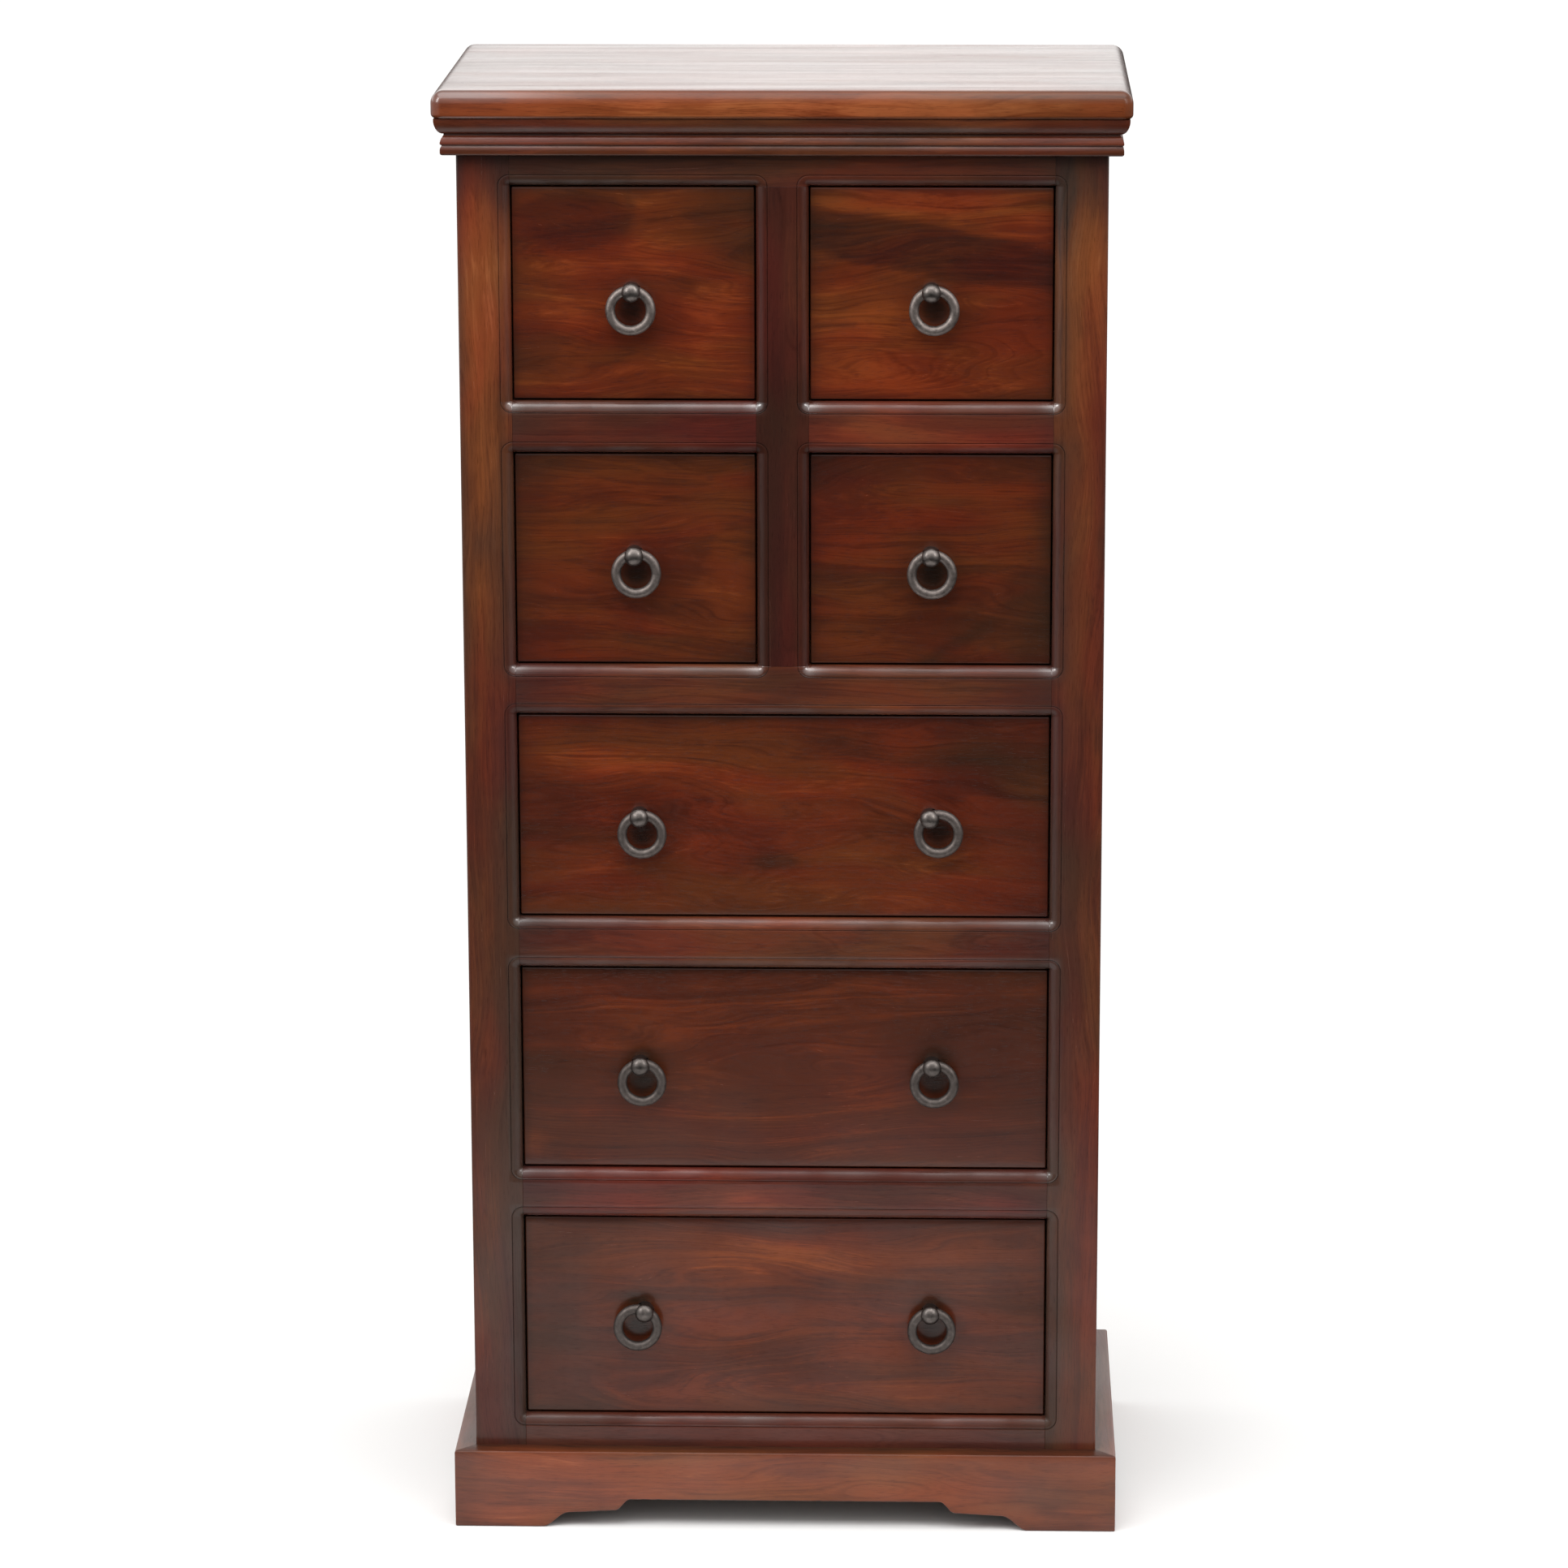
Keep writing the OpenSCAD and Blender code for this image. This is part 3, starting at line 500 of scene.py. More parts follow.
def frame_piece(name, x0, x1, z0, z1, T, ufeats, vfeats, corners, holes, mat, paint, replaces, seed=0, outer=None, step=6.0, extra_v=(), face_y=FACE_Y, body="carcass", rnd=2.0):
    """A stile, rail or muntin, with the moulding of the neighbouring openings worked on it."""
    rl = tuple(rnd * (1 - math.cos(math.radians(t))) for t in (22, 45, 67)) + (rnd,)
    ul = lines(x0, x1, ufeats, rl if outer == "left" else (0.35,), rl if outer == "right" else (0.35,), step, BEAD)
    vl = lines(z0, z1, vfeats, (0.35,), (0.35,), step, BEAD)
    U, V = warp_grid(ul, vl, ufeats, vfeats, corners, BEAD)
    dist = near_holes(U, V, holes)
    D = bead_depth(dist)
    wave = 0.07 * fbm(U / 70, V / 70, seed + 2, 2)
    D = D + np.clip(dist / 12, 0, 1) * (0.06 + wave)
    border = np.zeros(U.shape, bool)
    border[0, :] = border[-1, :] = border[:, 0] = border[:, -1] = True
    side = np.zeros(U.shape, bool)
    if outer == "left":
        side[0, :] = True
    if outer == "right":
        side[-1, :] = True
    D = np.where(border & ~side & (dist > 1e-6), D + 0.30, D)
    if outer:
        e = (U - x0) if outer == "left" else (x1 - U)
        D = D + rnd - np.sqrt(np.maximum(0, rnd * rnd - np.maximum(0, rnd - e) ** 2))
    P = []
    for d in (D, np.full(U.shape, float(T))):
        q = np.stack([U, face_y + d, V], -1)
        P.append(q.reshape(-1, 3))
    pf, pb = paint(U, V, D), paint(U, V, np.full(U.shape, float(T)))
    attrs = {k: np.concatenate([np.broadcast_to(pf[k], U.shape).ravel(), np.broadcast_to(pb[k], U.shape).ravel()]) for k in pf}
    return make(name, np.concatenate(P), block_faces(*U.shape), body, mat, attrs, replaces=replaces)


def frame_paint(warm, dark=None, seed=0, bead=0.16, reach=4.0, vertical=False):
    """Paint of a frame member: warm(x, z) and dark(x, z) give its broad tone; the moulding and the inner corners are darker."""
    def f(x, z, d):
        a, b = (x / 18, z / 90) if vertical else (x / 90, z / 18)
        w = warm(x, z) + 0.12 * fbm(a, b, seed, 4)
        dist = near_holes(x, z, HOLES)
        k = (dark(x, z) if dark else 0) + 0.08 * fbm(a * 1.7, b * 1.7, seed + 4, 3)
        e = dist + 3.5 * fbm(x / 28, z / 28, seed + 8, 3)
        k = k + bead * np.exp(-np.maximum(0, e - 9.8) / reach) + np.where(x < 0, 0.55, 0.25) * np.clip((abs(x) - 270) / 8, 0, 1) * np.clip((z - 700) / 120, 0, 1)
        # painted shade in the groove at the moulding's outer edge and along the opening's edge
        k = k + 0.12 * np.exp(-((dist - 9.9) / 0.5) ** 2) + 0.05 * np.exp(-np.maximum(0, dist) / 0.9)
        k = k + np.where(d > 12, 0.3, 0)
        shine = np.zeros(np.shape(x))
        for n, (x0, x1, z0, z1) in enumerate(HOLES):
            row = (0, 0, 1, 1, 2, 3, 4)[n]
            side = np.maximum(0, np.maximum(x0 - x, x - x1))
            below, over = np.maximum(0, z0 - z), np.maximum(0, z - z1)
            near = (np.hypot(side, np.maximum(below, over)) < 9.9)
            rubbed = np.exp(-((x - x0 + 2) / 9) ** 2) + np.exp(-((x - x1 - 2) / 9) ** 2)
            lift = (0.50, 0.0, -0.2, -0.15, 0.0)[row] - (0, 0.42, 0.12, 0.12, 0, 0, 0)[n]
            shine = shine + near * np.where(below > 0, lift + 0.35 * fbm(x / 30, z / 30, seed + 13, 3) + (1.8, 1.7, 0.9, 0.6, 0.0)[row] * rubbed, np.where(over > 0, (-0.50, -0.50, -0.45, -0.35, -0.05)[row], -0.12))
        shine = shine * (1 + 0.5 * fbm(x / 16, z / 16, seed + 11, 2)) + dulled(x, z, seed)
        return {"warm": w, "dark": np.clip(k, 0, 0.95), "shine": shine}
    return f


# ================================================================= the chest
NT = {}

# ---- front frame ------------------------------------------------
lo_hi = [(LOW[k], -1) for k in range(5)] + [(HIGH[k], 1) for k in range(5)]


def knots(z, pts):
    return np.interp(z, [p[0] for p in pts], [p[1] for p in pts])


def stile_warm_left(x, z):
    return knots(z, [(0, .30), (150, .34), (420, .34), (640, .38), (760, .46), (860, .55), (960, .62), (1060, .80), (1150, .84), (1195, .72), (1230, .45), (1276, .30)]) \
        - 0.10 * np.clip((x + 262) / 26, 0, 1)


def stile_dark_left(x, z):
    inner = np.clip((x + 268) / 24, 0, 1)
    k = inner * knots(z, [(0, .30), (420, .26), (640, .24), (900, .20), (1060, .06), (1150, .04), (1210, .35), (1276, .5)])
    k = k + knots(z, [(0, .30), (90, .28), (250, .20), (600, .12), (800, .04), (1180, .0), (1222, .22), (1276, .55)])
    return k + blob(x, z, -262, 905, 12, 20, .35)


def stile_warm_right(x, z):
    return knots(z, [(0, .42), (150, .42), (420, .36), (640, .36), (760, .40), (860, .42), (960, .48), (1060, .66), (1140, .78), (1180, .72), (1215, .40), (1276, .28)]) \
        - 0.08 * np.clip((262 - x) / 26, 0, 1)


def stile_dark_right(x, z):
    inner = np.clip((268 - x) / 24, 0, 1)
    k = inner * knots(z, [(0, .28), (420, .24), (640, .24), (900, .20), (1060, .10), (1150, .12), (1200, .4), (1276, .5)])
    return k + knots(z, [(0, .28), (90, .22), (250, .14), (600, .12), (800, .08), (1150, .04), (1215, .38), (1276, .58)])


vfe = [(LOW[k], -1) for k in range(5)] + [(HIGH[k], 1) for k in range(5)]
m_sl = wood("wood_stile_left", "z", 1, (-300, -155), 25, 0.015, 4.2, 0.26, 0.7, black=GREYED, stops=FRAME)
m_sr = wood("wood_stile_right", "z", 2, (310, -155), 30, -0.012, 4.6, 0.26, 0.7, black=GREYED, stops=FRAME)
frame_piece("stile_left_wood", -HALF, -HOLE_X, 0, CAP_Z, 30, [(-HOLE_X, -1)], vfe, [(0, k) for k in range(10)], HOLES, m_sl,
            frame_paint(stile_warm_left, stile_dark_left, 11, bead=0.29, reach=5.5, vertical=True), ["stile_left"], 11, outer="left")
frame_piece("stile_right_wood", HOLE_X, HALF, 0, CAP_Z, 30, [(HOLE_X, 1)], vfe, [(0, k) for k in range(10)], HOLES, m_sr,
            frame_paint(stile_warm_right, stile_dark_right, 12, bead=0.34, reach=6.5, vertical=True), ["stile_right"], 12, outer="right")


def ends_dark(half, amount, reach=60.0):
    return lambda x, z: amount * np.exp(-np.maximum(0, half - abs(x)) / reach)


m_top_rail = wood("wood_top_rail", "x", 3, (1290, -155), 40, 0.01, 4.0, 0.28, 0.6, black=GREYED, stops=FRAME)
frame_piece("top_rail_wood", -HOLE_X, HOLE_X, HIGH[0], CAP_Z, 22, [(-MID_X, 1), (MID_X, -1)], [(HIGH[0], 1)], [(0, 0), (1, 0)], HOLES, m_top_rail,
            frame_paint(lambda x, z: 0.30 + blob(x, z, 90, 1240, 110, 60, .16) + 0.0 * x, lambda x, z: 0.30 + ends_dark(HOLE_X, .3)(x, z) - blob(x, z, 90, 1240, 120, 60, .2), 13),
            ["top_rail"], 13)
m_mun = wood("wood_muntin", "z", 4, (8, -155), 70, 0.01, 4.4, 0.26, 0.6, black=BLACK, stops=PLUM)
frame_piece("muntin_wood", -MID_X, MID_X, LOW[1], HIGH[0], 22, [(-MID_X, 1), (MID_X, -1)], [(LOW[0], -1), (HIGH[1], 1)], [(0, 0), (1, 0), (0, 1), (1, 1)], HOLES, m_mun,
            frame_paint(lambda x, z: 0.24 + 0.08 * np.cos(z / 60) + 0.05 * np.sign(x), lambda x, z: 0.16 - 0.10 * (z < 808) + 0.28 * np.exp(-((z - 808) / 26) ** 2) + 0.22 * np.exp(-((z - 1012) / 22) ** 2) + 0 * x, 14, bead=0.16, reach=4, vertical=True), ["muntin"], 14)
for s, nm in ((-1, "left"), (1, "right")):
    a, b = (-HOLE_X, -MID_X) if s < 0 else (MID_X, HOLE_X)
    mt = wood("wood_short_rail_" + nm, "x", 5 + s, (1005 + 40 * s, -155), 55, 0.01, 4.2, 0.28, 0.6, black=GREYED, stops=PLUM)
    frame_piece("short_rail_%s_wood" % nm, a, b, HIGH[1], LOW[0], 22, [], [(HIGH[1], 1), (LOW[0], -1)], [], HOLES, mt,
                frame_paint((lambda x, z: 0.40 - 0.14 * np.exp(-abs(abs(x) - 22) / 50)) if s < 0 else (lambda x, z: 0.52 - 0.2 * np.exp(-abs(abs(x) - 22) / 40) + blob(x, z, 90, 1005, 60, 20, .14)),
                            lambda x, z: 0.08 + 0.42 * np.exp(-np.maximum(0, HOLE_X - abs(x)) / 22), 15 + s, bead=0.14, reach=4), ["short_rails"] if s < 0 else [], 15 + s)
for k, nm, tone, seed in ((1, "rail_2", 0.42, 21), (2, "rail_3", 0.44, 22), (3, "rail_4", 0.46, 23)):
    uf = [(-MID_X, 1), (MID_X, -1)] if k == 1 else []
    cn = [(0, 1), (1, 1)] if k == 1 else []
    mt = wood("wood_" + nm, "x", 10 + k, ((LOW[k] + HIGH[k + 1]) / 2 - 70 + 40 * k, -155), 45, 0.012, 4.4, 0.30, 0.6, black=GREYED, stops=PLUM if k == 3 else FRAME)
    frame_piece(nm + "_wood", -HOLE_X, HOLE_X, HIGH[k + 1], LOW[k], 22, uf, [(HIGH[k + 1], 1), (LOW[k], -1)], cn, HOLES, mt,
                frame_paint(lambda x, z, t=tone, k=k: t + 0.08 * np.sin(x / 70 + k) - 0.15 * np.exp(-np.maximum(0, HOLE_X - abs(x)) / 40) - (0.2 * np.exp(-(x / 45) ** 2) if k == 1 else 0),
                            lambda x, z: 0.05 + 0.48 * np.exp(-np.maximum(0, HOLE_X - abs(x)) / 26), seed, bead=0.12, reach=4), [nm], seed)
m_br = wood("wood_bottom_rail", "x", 15, (60, -155), 50, 0.01, 4.2, 0.28, 0.6, black=GREYED, stops=PLUM, hues=0.5)
# the bottom rail darkens just above the plinth's ledge: painted shade in that crease
frame_piece("bottom_rail_wood", -HOLE_X, HOLE_X, 40, LOW[4], 22, [], [(LOW[4], -1)], [], HOLES, m_br,
            frame_paint(lambda x, z: 0.42 - 0.1 * np.exp(-abs(x + 150) / 60), lambda x, z: 0.14 + 0.35 * np.exp(-np.maximum(0, HOLE_X - abs(x)) / 40) + 0.3 * np.exp(-np.maximum(0, z - 72) / 7), 24, bead=0.12, reach=4),
            ["bottom_rail"], 24)

# ---- top and cornice --------------------------------------------
def top_paint(u, v, z):
    w = (0.86 - 0.42 * np.clip((v + 168) / 10, 0, 1)) + 0.10 * fbm(u / 120, v / 26, 31, 4) - 0.16 * np.exp(-np.maximum(0, 300 - abs(u)) / 45)
    k = 0.04 + 0.30 * np.clip((v + 168) / 10, 0, 1) + 0.08 * fbm(u / 90, v / 20, 33, 4) + 0.10 * np.exp(-np.maximum(0, 300 - abs(u)) / 30)
    # painted shade on the underside and lowest part of the overhanging top
    k = k + np.where(z < 1282, 0.55 * (1282 - z) / 6, 0)
    edge = np.clip((-v - 166) / 5, 0, 1)
    k = k + edge * (0.07 * np.clip((u + 40) / 120, 0, 1) + blob(u, v * 0, -175, 0, 26, 1, 0.14) + 0.12 * fbm(u / 30, z / 5, 36, 3))
    shine = (1 - edge) * (-0.30 * np.exp(-np.maximum(0, v + 170) / 16) + 0.30 * fbm(u / 190, v / 9, 38, 3) - 0.2 * np.exp(-np.maximum(0, u + 300) / 14))
    rim = np.clip((-v - 157) / 7, 0, 1)
    # painted shade: the crown of the front rounding, which faces up, is darkened and cooled
    crown = rim * np.clip((z - 1287) / 9, 0, 1) * np.clip((-v - 163) / 2, 0, 1)
    k = k + 0.52 * crown - 0.16 * rim * np.exp(-((u + 250) / 90) ** 2)
    w = w - 0.10 * crown
    shine = shine * (1 - rim) - rim * (0.66 - 0.25 * crown - 0.75 * np.exp(-((u + 270) / 70) ** 2))
    return {"warm": w, "dark": np.clip(k, 0, 0.9), "shine": shine}


m_top = wood("wood_top", "xy", 20, (-120, 1300), -90, 0.015, 6.0, 0.30, 1.0, gloss=0.24, coat=0.45, coat_rough=0.12, bump=0.2, stops=FRAME, hues=0.45)
n = 9
tl = [11 * math.sin(math.pi / 2 * k / n) for k in range(n + 1)]
bl = [0, 3.5, 7.0] + [7 + 4 * math.sin(math.pi / 2 * k / (n - 2)) for k in range(1, n - 1)]
ufe, vfe2 = [(-289, -1), (289, 1)], [(-164, -1)]
ul = lines(-300, 300, ufe, (), (), 10, tl, None)
vl = lines(-175, 175, vfe2, (), (0.5,), 10, tl, None)
Ut, Vt = warp_grid(ul, vl, ufe, vfe2, [(0, 0), (1, 0)], tl)
ulb = [((-289 - bl[k]) if f == 0 else (289 + bl[k]) if f == 1 else p, f, k) for p, f, k in ul]
vlb = [((-164 - bl[k]) if f == 0 else p, f, k) for p, f, k in vl]
Ub, Vb = warp_grid(ulb, vlb, ufe, vfe2, [(0, 0), (1, 0)], bl)
Rt = np.hypot(np.maximum(0, abs(Ut) - 289), np.maximum(0, -164 - Vt))
Rb = np.hypot(np.maximum(0, abs(Ub) - 289), np.maximum(0, -164 - Vb))
Zt = 1289 + np.sqrt(np.maximum(0, 121 - np.minimum(Rt, 11) ** 2))
Zt = Zt - np.clip(1 - Rt / 6, 0, 1) * (0.06 + 0.06 * fbm(Ut / 150, Vt / 60, 41, 2))
Zb = 1280 - np.sqrt(np.maximum(0, 16 - np.clip(Rb - 7, 0, 4) ** 2))
co = np.concatenate([np.stack([Ut, Vt, Zt], -1).reshape(-1, 3), np.stack([Ub, Vb, Zb], -1).reshape(-1, 3)])
pt, pb = top_paint(Ut, Vt, Zt), top_paint(Ub, Vb, Zb)
make("top_board_wood", co, block_faces(*Ut.shape), "carcass", m_top, {k: np.concatenate([pt[k].ravel(), pb[k].ravel()]) for k in pt}, replaces=["top_board"])

# section of the cornice: distance out from the carcass, and height above its foot
SEC = [(0, 0), (10.4, 0), (11.4, .35), (12.2, 1.1), (12.5, 2.0), (12.5, 4.4), (12.42, 5.3), (12.2, 6.3), (11.75, 7.2), (11.3, 7.9), (11.05, 8.25), (11.0, 8.7), (11.5, 9.0), (12.15, 9.4),
       (12.45, 9.9), (12.5, 10.5), (12.38, 11.5), (12.05, 12.6), (11.6, 13.8), (11.0, 15.0), (10.3, 16.0), (9.7, 16.7), (9.35, 17.1), (9.3, 17.9), (9.35, 18.6)]
SEC += [(9.3 + 8.2 * math.sin(math.radians(t)), 32 - 13.4 * math.cos(math.radians(t))) for t in (10, 20, 30, 40, 50, 60, 70, 80)] + [(17.4, 31.9), (0, 31.9)]
SECP = np.array(SEC)


def strip(name, stations, place, mat, paint, replaces, body="carcass"):
    """Sweeps the cornice section through stations 0..1; place(s, out, up) gives the point."""
    m, q = len(stations), len(SECP)
    co = np.array([place(s, o, h) for s in stations for o, h in SECP])
    faces = []
    for i in range(m - 1):
        for j in range(q):
            a, b = i * q + j, i * q + (j + 1) % q
            faces.append((a, b, b + q, a + q))
    faces.append(tuple(range(q)))
    faces.append(tuple(reversed(range((m - 1) * q, m * q))))
    S = np.repeat(np.arange(m), q)
    O, H = np.tile(SECP[:, 0], m), np.tile(SECP[:, 1], m)
    pr = paint(co, O, H)
    return make(name, co, faces, body, mat, pr, replaces=replaces, angle=40)


def cornice_paint(co, O, H):
    p = co[:, 0] if np.ptp(co[:, 0]) > np.ptp(co[:, 1]) else co[:, 1] * 1.7 + 900
    w = 0.50 + 0.24 * fbm(p / 60, H / 7, 51, 4)
    # painted shade: dark lines in the two grooves (H 8.4 and 17.6) and a darker cove above H 17.5 under the top's
    # overhang
    k = 0.17 + 0.20 * (H > 17.5) + 0.28 * np.exp(-((H - 8.4) / 1.0) ** 2) + 0.35 * np.exp(-((H - 17.6) / 1.3) ** 2) + 0.20 * fbm(p / 45, H / 5, 53, 4)
    k = k + 0.15 * (H < 8.4) - 0.12 * np.exp(-((p + 230) / 150) ** 2)
    return {"warm": w, "dark": np.clip(k + 0.5 * (O < 9), 0, .95), "shine": 0.35 * fbm(p / 70, H / 9, 57, 3) - 0.30 + 0.30 * np.exp(-((p + 300) / 170) ** 2)}


m_cor = wood("wood_cornice", "x", 21, (1230, -180), 50, 0.01, 4.0, 0.26, 0.5, gloss=0.28, stops=FRAME)
m_cor_y = wood("wood_cornice_sides", "y", 22, (1230, 300), 50, 0.01, 4.0, 0.26, 0.5, gloss=0.28, stops=FRAME)
st = np.linspace(0, 1, 81)
strip("cornice_front_wood", st, lambda s, o, h: ((2 * s - 1) * (HALF + o), FACE_Y - o, 1244 + h), m_cor, cornice_paint, ["cornice_front"])
st = np.linspace(0, 1, 41)
strip("cornice_left_wood", st, lambda s, o, h: (-HALF - o, FACE_Y - o + s * (330 + o), 1244 + h), m_cor_y, cornice_paint, ["cornice_returns"])
strip("cornice_right_wood", st, lambda s, o, h: (HALF + o, FACE_Y - o + s * (330 + o), 1244 + h), m_cor_y, cornice_paint, [])


# ---- plinth -----------------------------------------------------
def ease(t):
    t = np.clip(t, 0, 1)
    return t * t * (3 - 2 * t)


def arch(d):
    """Height of the cut-out at distance d in from where it meets the floor."""
    d = np.asarray(d, float)
    return np.where(d <= 0, 0, np.where(d <= 23, 13.6 * ease(d / 23), np.where(d <= 66, 13.6 + 2.4 * (d - 23) / 43, 16 + 10.5 * ease((d - 66) / 13))))


def plinth_board(name, outer, w, place, mat, paint, replaces, seed):
    """A plinth board. outer is half its length at the front face, w half the cut-out's width; place(u, z, depth) gives the point."""
    half_u = [0.0, 0.3, 1.2, 3.0]
    us = sorted(set(list(np.round(np.arange(0, w - 82, 6.0), 3)) + [w - d for d in (0, 1.5, 3, 5, 7.5, 10, 12.5, 15, 17.5, 20, 23, 28, 34, 42, 50, 58, 64, 66, 68, 70, 72, 74, 76, 78, 80, 82)]
                    + list(np.linspace(w, outer - 3, max(2, int((outer - 3 - w) / 7)))[1:]) + [outer - o for o in half_u]))
    us = np.array(sorted([-u for u in us if u > 0] + us))
    q = np.array([0, .25, .9, 2.0])
    top = 72 - q[::-1]
    rows = 9
    U, V, D = [], [], []
    r = 1.8
    chip = 0.35 * fbm(us / 5.0, us * 0 + seed, seed, 3) * (abs(us) < w - 3)
    for u, c in zip(us, chip):
        b = float(arch(w - abs(u))) + max(0.0, c)
        low = b + np.array([0, .25, .8, 1.6])
        mid = np.linspace(b + 1.6, 72 - 2.0, rows + 2)[1:-1]
        v = np.concatenate([low, mid, [72 - 2.0, 72 - .9, 72 - .25, 72.0]])
        et, eb = 72 - v, v - b
        d = 2.0 - np.sqrt(np.maximum(0, 4 - np.maximum(0, 2.0 - et) ** 2)) + 1.0 * (1.6 - np.sqrt(np.maximum(0, 1.6 ** 2 - np.maximum(0, 1.6 - eb) ** 2)))
        e = outer - abs(u)
        d = d + 0.25 * max(0.0, 1 - e / 0.3)
        U.append(np.full(v.shape, u)); V.append(v); D.append(d)
    U, V, D = np.array(U), np.array(V), np.array(D)
    D = D + 0.05 + 0.05 * fbm(U / 60, V / 30, seed, 2)
    P = [place(U, V, D), place(U, V, np.full(U.shape, 18.0))]
    co = np.concatenate([p.reshape(-1, 3) for p in P])
    pf, pb = paint(U, V, D), paint(U, V, np.full(U.shape, 18.0))
    return make(name, co, block_faces(*U.shape), "carcass", mat, {k: np.concatenate([np.broadcast_to(pf[k], U.shape).ravel(), np.broadcast_to(pb[k], U.shape).ravel()]) for k in pf},
                replaces=replaces, angle=38)


def plinth_paint(seed, rim=-0.45, rim_shade=0.50):
    def f(u, v, d):
        w = 0.70 + 0.13 * fbm(u / 80, v / 13, seed, 4) - 0.16 * np.exp(-np.maximum(0, 298 - abs(u)) / 40) + blob(u, v, -255, 10, 40, 7, .2)
        # painted shade along the top rim, where the ledge meets the front
        k = 0.10 + 0.08 * fbm(u / 60, v / 15, seed + 3, 3) + 0.16 * np.exp(-np.maximum(0, v) / 8) + rim_shade * np.exp(-np.maximum(0, 72 - v) / 1.5) + blob(u, v, 235, 45, 62, 42, .26) + blob(u, v, -285, 45, 22, 50, .16) + blob(u, v, 60, 66, 170, 9, .12)
        k = k + np.where(d > 3, 0.32, 0)
        return {"warm": w, "dark": np.clip(k, 0, .9), "shine": 0.25 * fbm(u / 70, v / 30, seed + 9, 3) + rim * np.exp(-np.maximum(0, 72 - v) / 2.2)}
    return f


m_pl = wood("wood_plinth", "x", 30, (20, -173), 60, 0.012, 5.0, 0.28, 0.8, gloss=0.33, stops=FRAME, hues=0.5)
m_ply_side = wood("wood_plinth_sides", "y", 31, (20, 300), 60, 0.012, 5.0, 0.28, 0.8, gloss=0.33, stops=FRAME)
plinth_board("plinth_front_wood", 298.0, 219.0, lambda u, z, d: np.stack([u * (1 - np.maximum(0, np.minimum(1, (abs(u) - 260) / 38)) * d / 298.0), -173.0 + d, z], -1), m_pl, plinth_paint(61), ["plinth_front"], 5)


def side_place(sign):
    def f(u, z, d):
        # u runs from the front mitre (-174) to the back (174); the mitre shortens the inner face
        mit = np.clip((-u - 130) / 44, 0, 1)
        y = u + 1.0 + mit * d
        return np.stack([sign * (298.0 - d), y, z], -1)
    return f


plinth_board("plinth_left_wood", 174.0, 104.0, side_place(-1), m_ply_side, plinth_paint(62, -0.2, 0.4), ["plinth_returns"], 6)
plinth_board("plinth_right_wood", 174.0, 104.0, side_place(1), m_ply_side, plinth_paint(63, -0.2, 0.4), [], 7)


# ---- sides and back ---------------------------------------------
def plain_paint(base, dark, seed, vertical=False, spread=0.12):
    def f(u, v, d):
        a, b = (u / 22, v / 110) if vertical else (u / 110, v / 22)
        return {"warm": base + spread * fbm(a, b, seed, 4), "dark": np.clip(dark + 0.10 * fbm(a * 1.6, b * 1.6, seed + 5, 3), 0, .9)}
    return f


for s, nm in ((-1, "left"), (1, "right")):
    face = "-x" if s < 0 else "+x"
    xs = lambda a, b: (min(s * a, s * b), max(s * a, s * b))
    ma = wood("wood_side_rail_" + nm, "y", 40 + s, (80, 300 * s), 60 * s, 0.01, 4.6, 0.28, 0.7)
    mp = wood("wood_side_panel_" + nm, "zy", 44 + s, (10, 275 * s), 70 * s, 0.02, 6.2, 0.32, 1.1)
    mr = wood("wood_rear_post_" + nm, "z", 48 + s, (290 * s, 160), 40, 0.01, 4.4, 0.26, 0.6)
    x0, x1 = xs(280, 260)
    slab("side_rail_low_" + nm, (x0, -125, 40), (x1, 140, 122), face, "carcass", ma, 0.5, 0.5, paint=plain_paint(.42, .16, 71 + s), replaces=["side_rails"] if s < 0 else [])
    slab("side_rail_top_" + nm, (x0, -125, 1206), (x1, 140, CAP_Z), face, "carcass", ma, 0.5, 0.5, paint=plain_paint(.42, .16, 74 + s))
    x0, x1 = xs(275, 267)
    slab("side_panel_wood_" + nm, (x0, -133 + .5, 114 + .5), (x1, 148 - .5, 1214 - .5), face, "carcass", mp, 0.6, 0.5, step=14, wave=0.12, seed=7 + s,
         paint=plain_paint(.46, .10, 77 + s, vertical=True), replaces=["side_panels"] if s < 0 else [])
    x0, x1 = xs(280, 245)
    slab("rear_post_wood_" + nm, (x0, 140, 0), (x1, 168.9, CAP_Z), face, "carcass", mr, 0.6, 0.6, step=12, paint=plain_paint(.42, .16, 80 + s, vertical=True), replaces=["rear_posts"] if s < 0 else [])
    x0, x1 = xs(280, 257.05)
    slab("rear_post_lip_" + nm, (x0, 168.9, 0), (x1, 175, CAP_Z), face, "carcass", mr, 0.6, 0.6, step=12, paint=plain_paint(.42, .16, 80 + s, vertical=True))
m_back = wood("plywood_back", "z", 60, (0, 175), 500, 0.0, 9.0, 0.3, 1.6, stops=PLY, gloss=0.55, coat=0.0, coat_rough=0.3, painted=False, bump=0.25)
slab("back_panel_board", (-256.9, 169, 52), (256.9, 175, 1264), "+y", "carcass", m_back, 0.5, 0.4, step=40, wave=0.15, seed=3, replaces=["back_panel"])


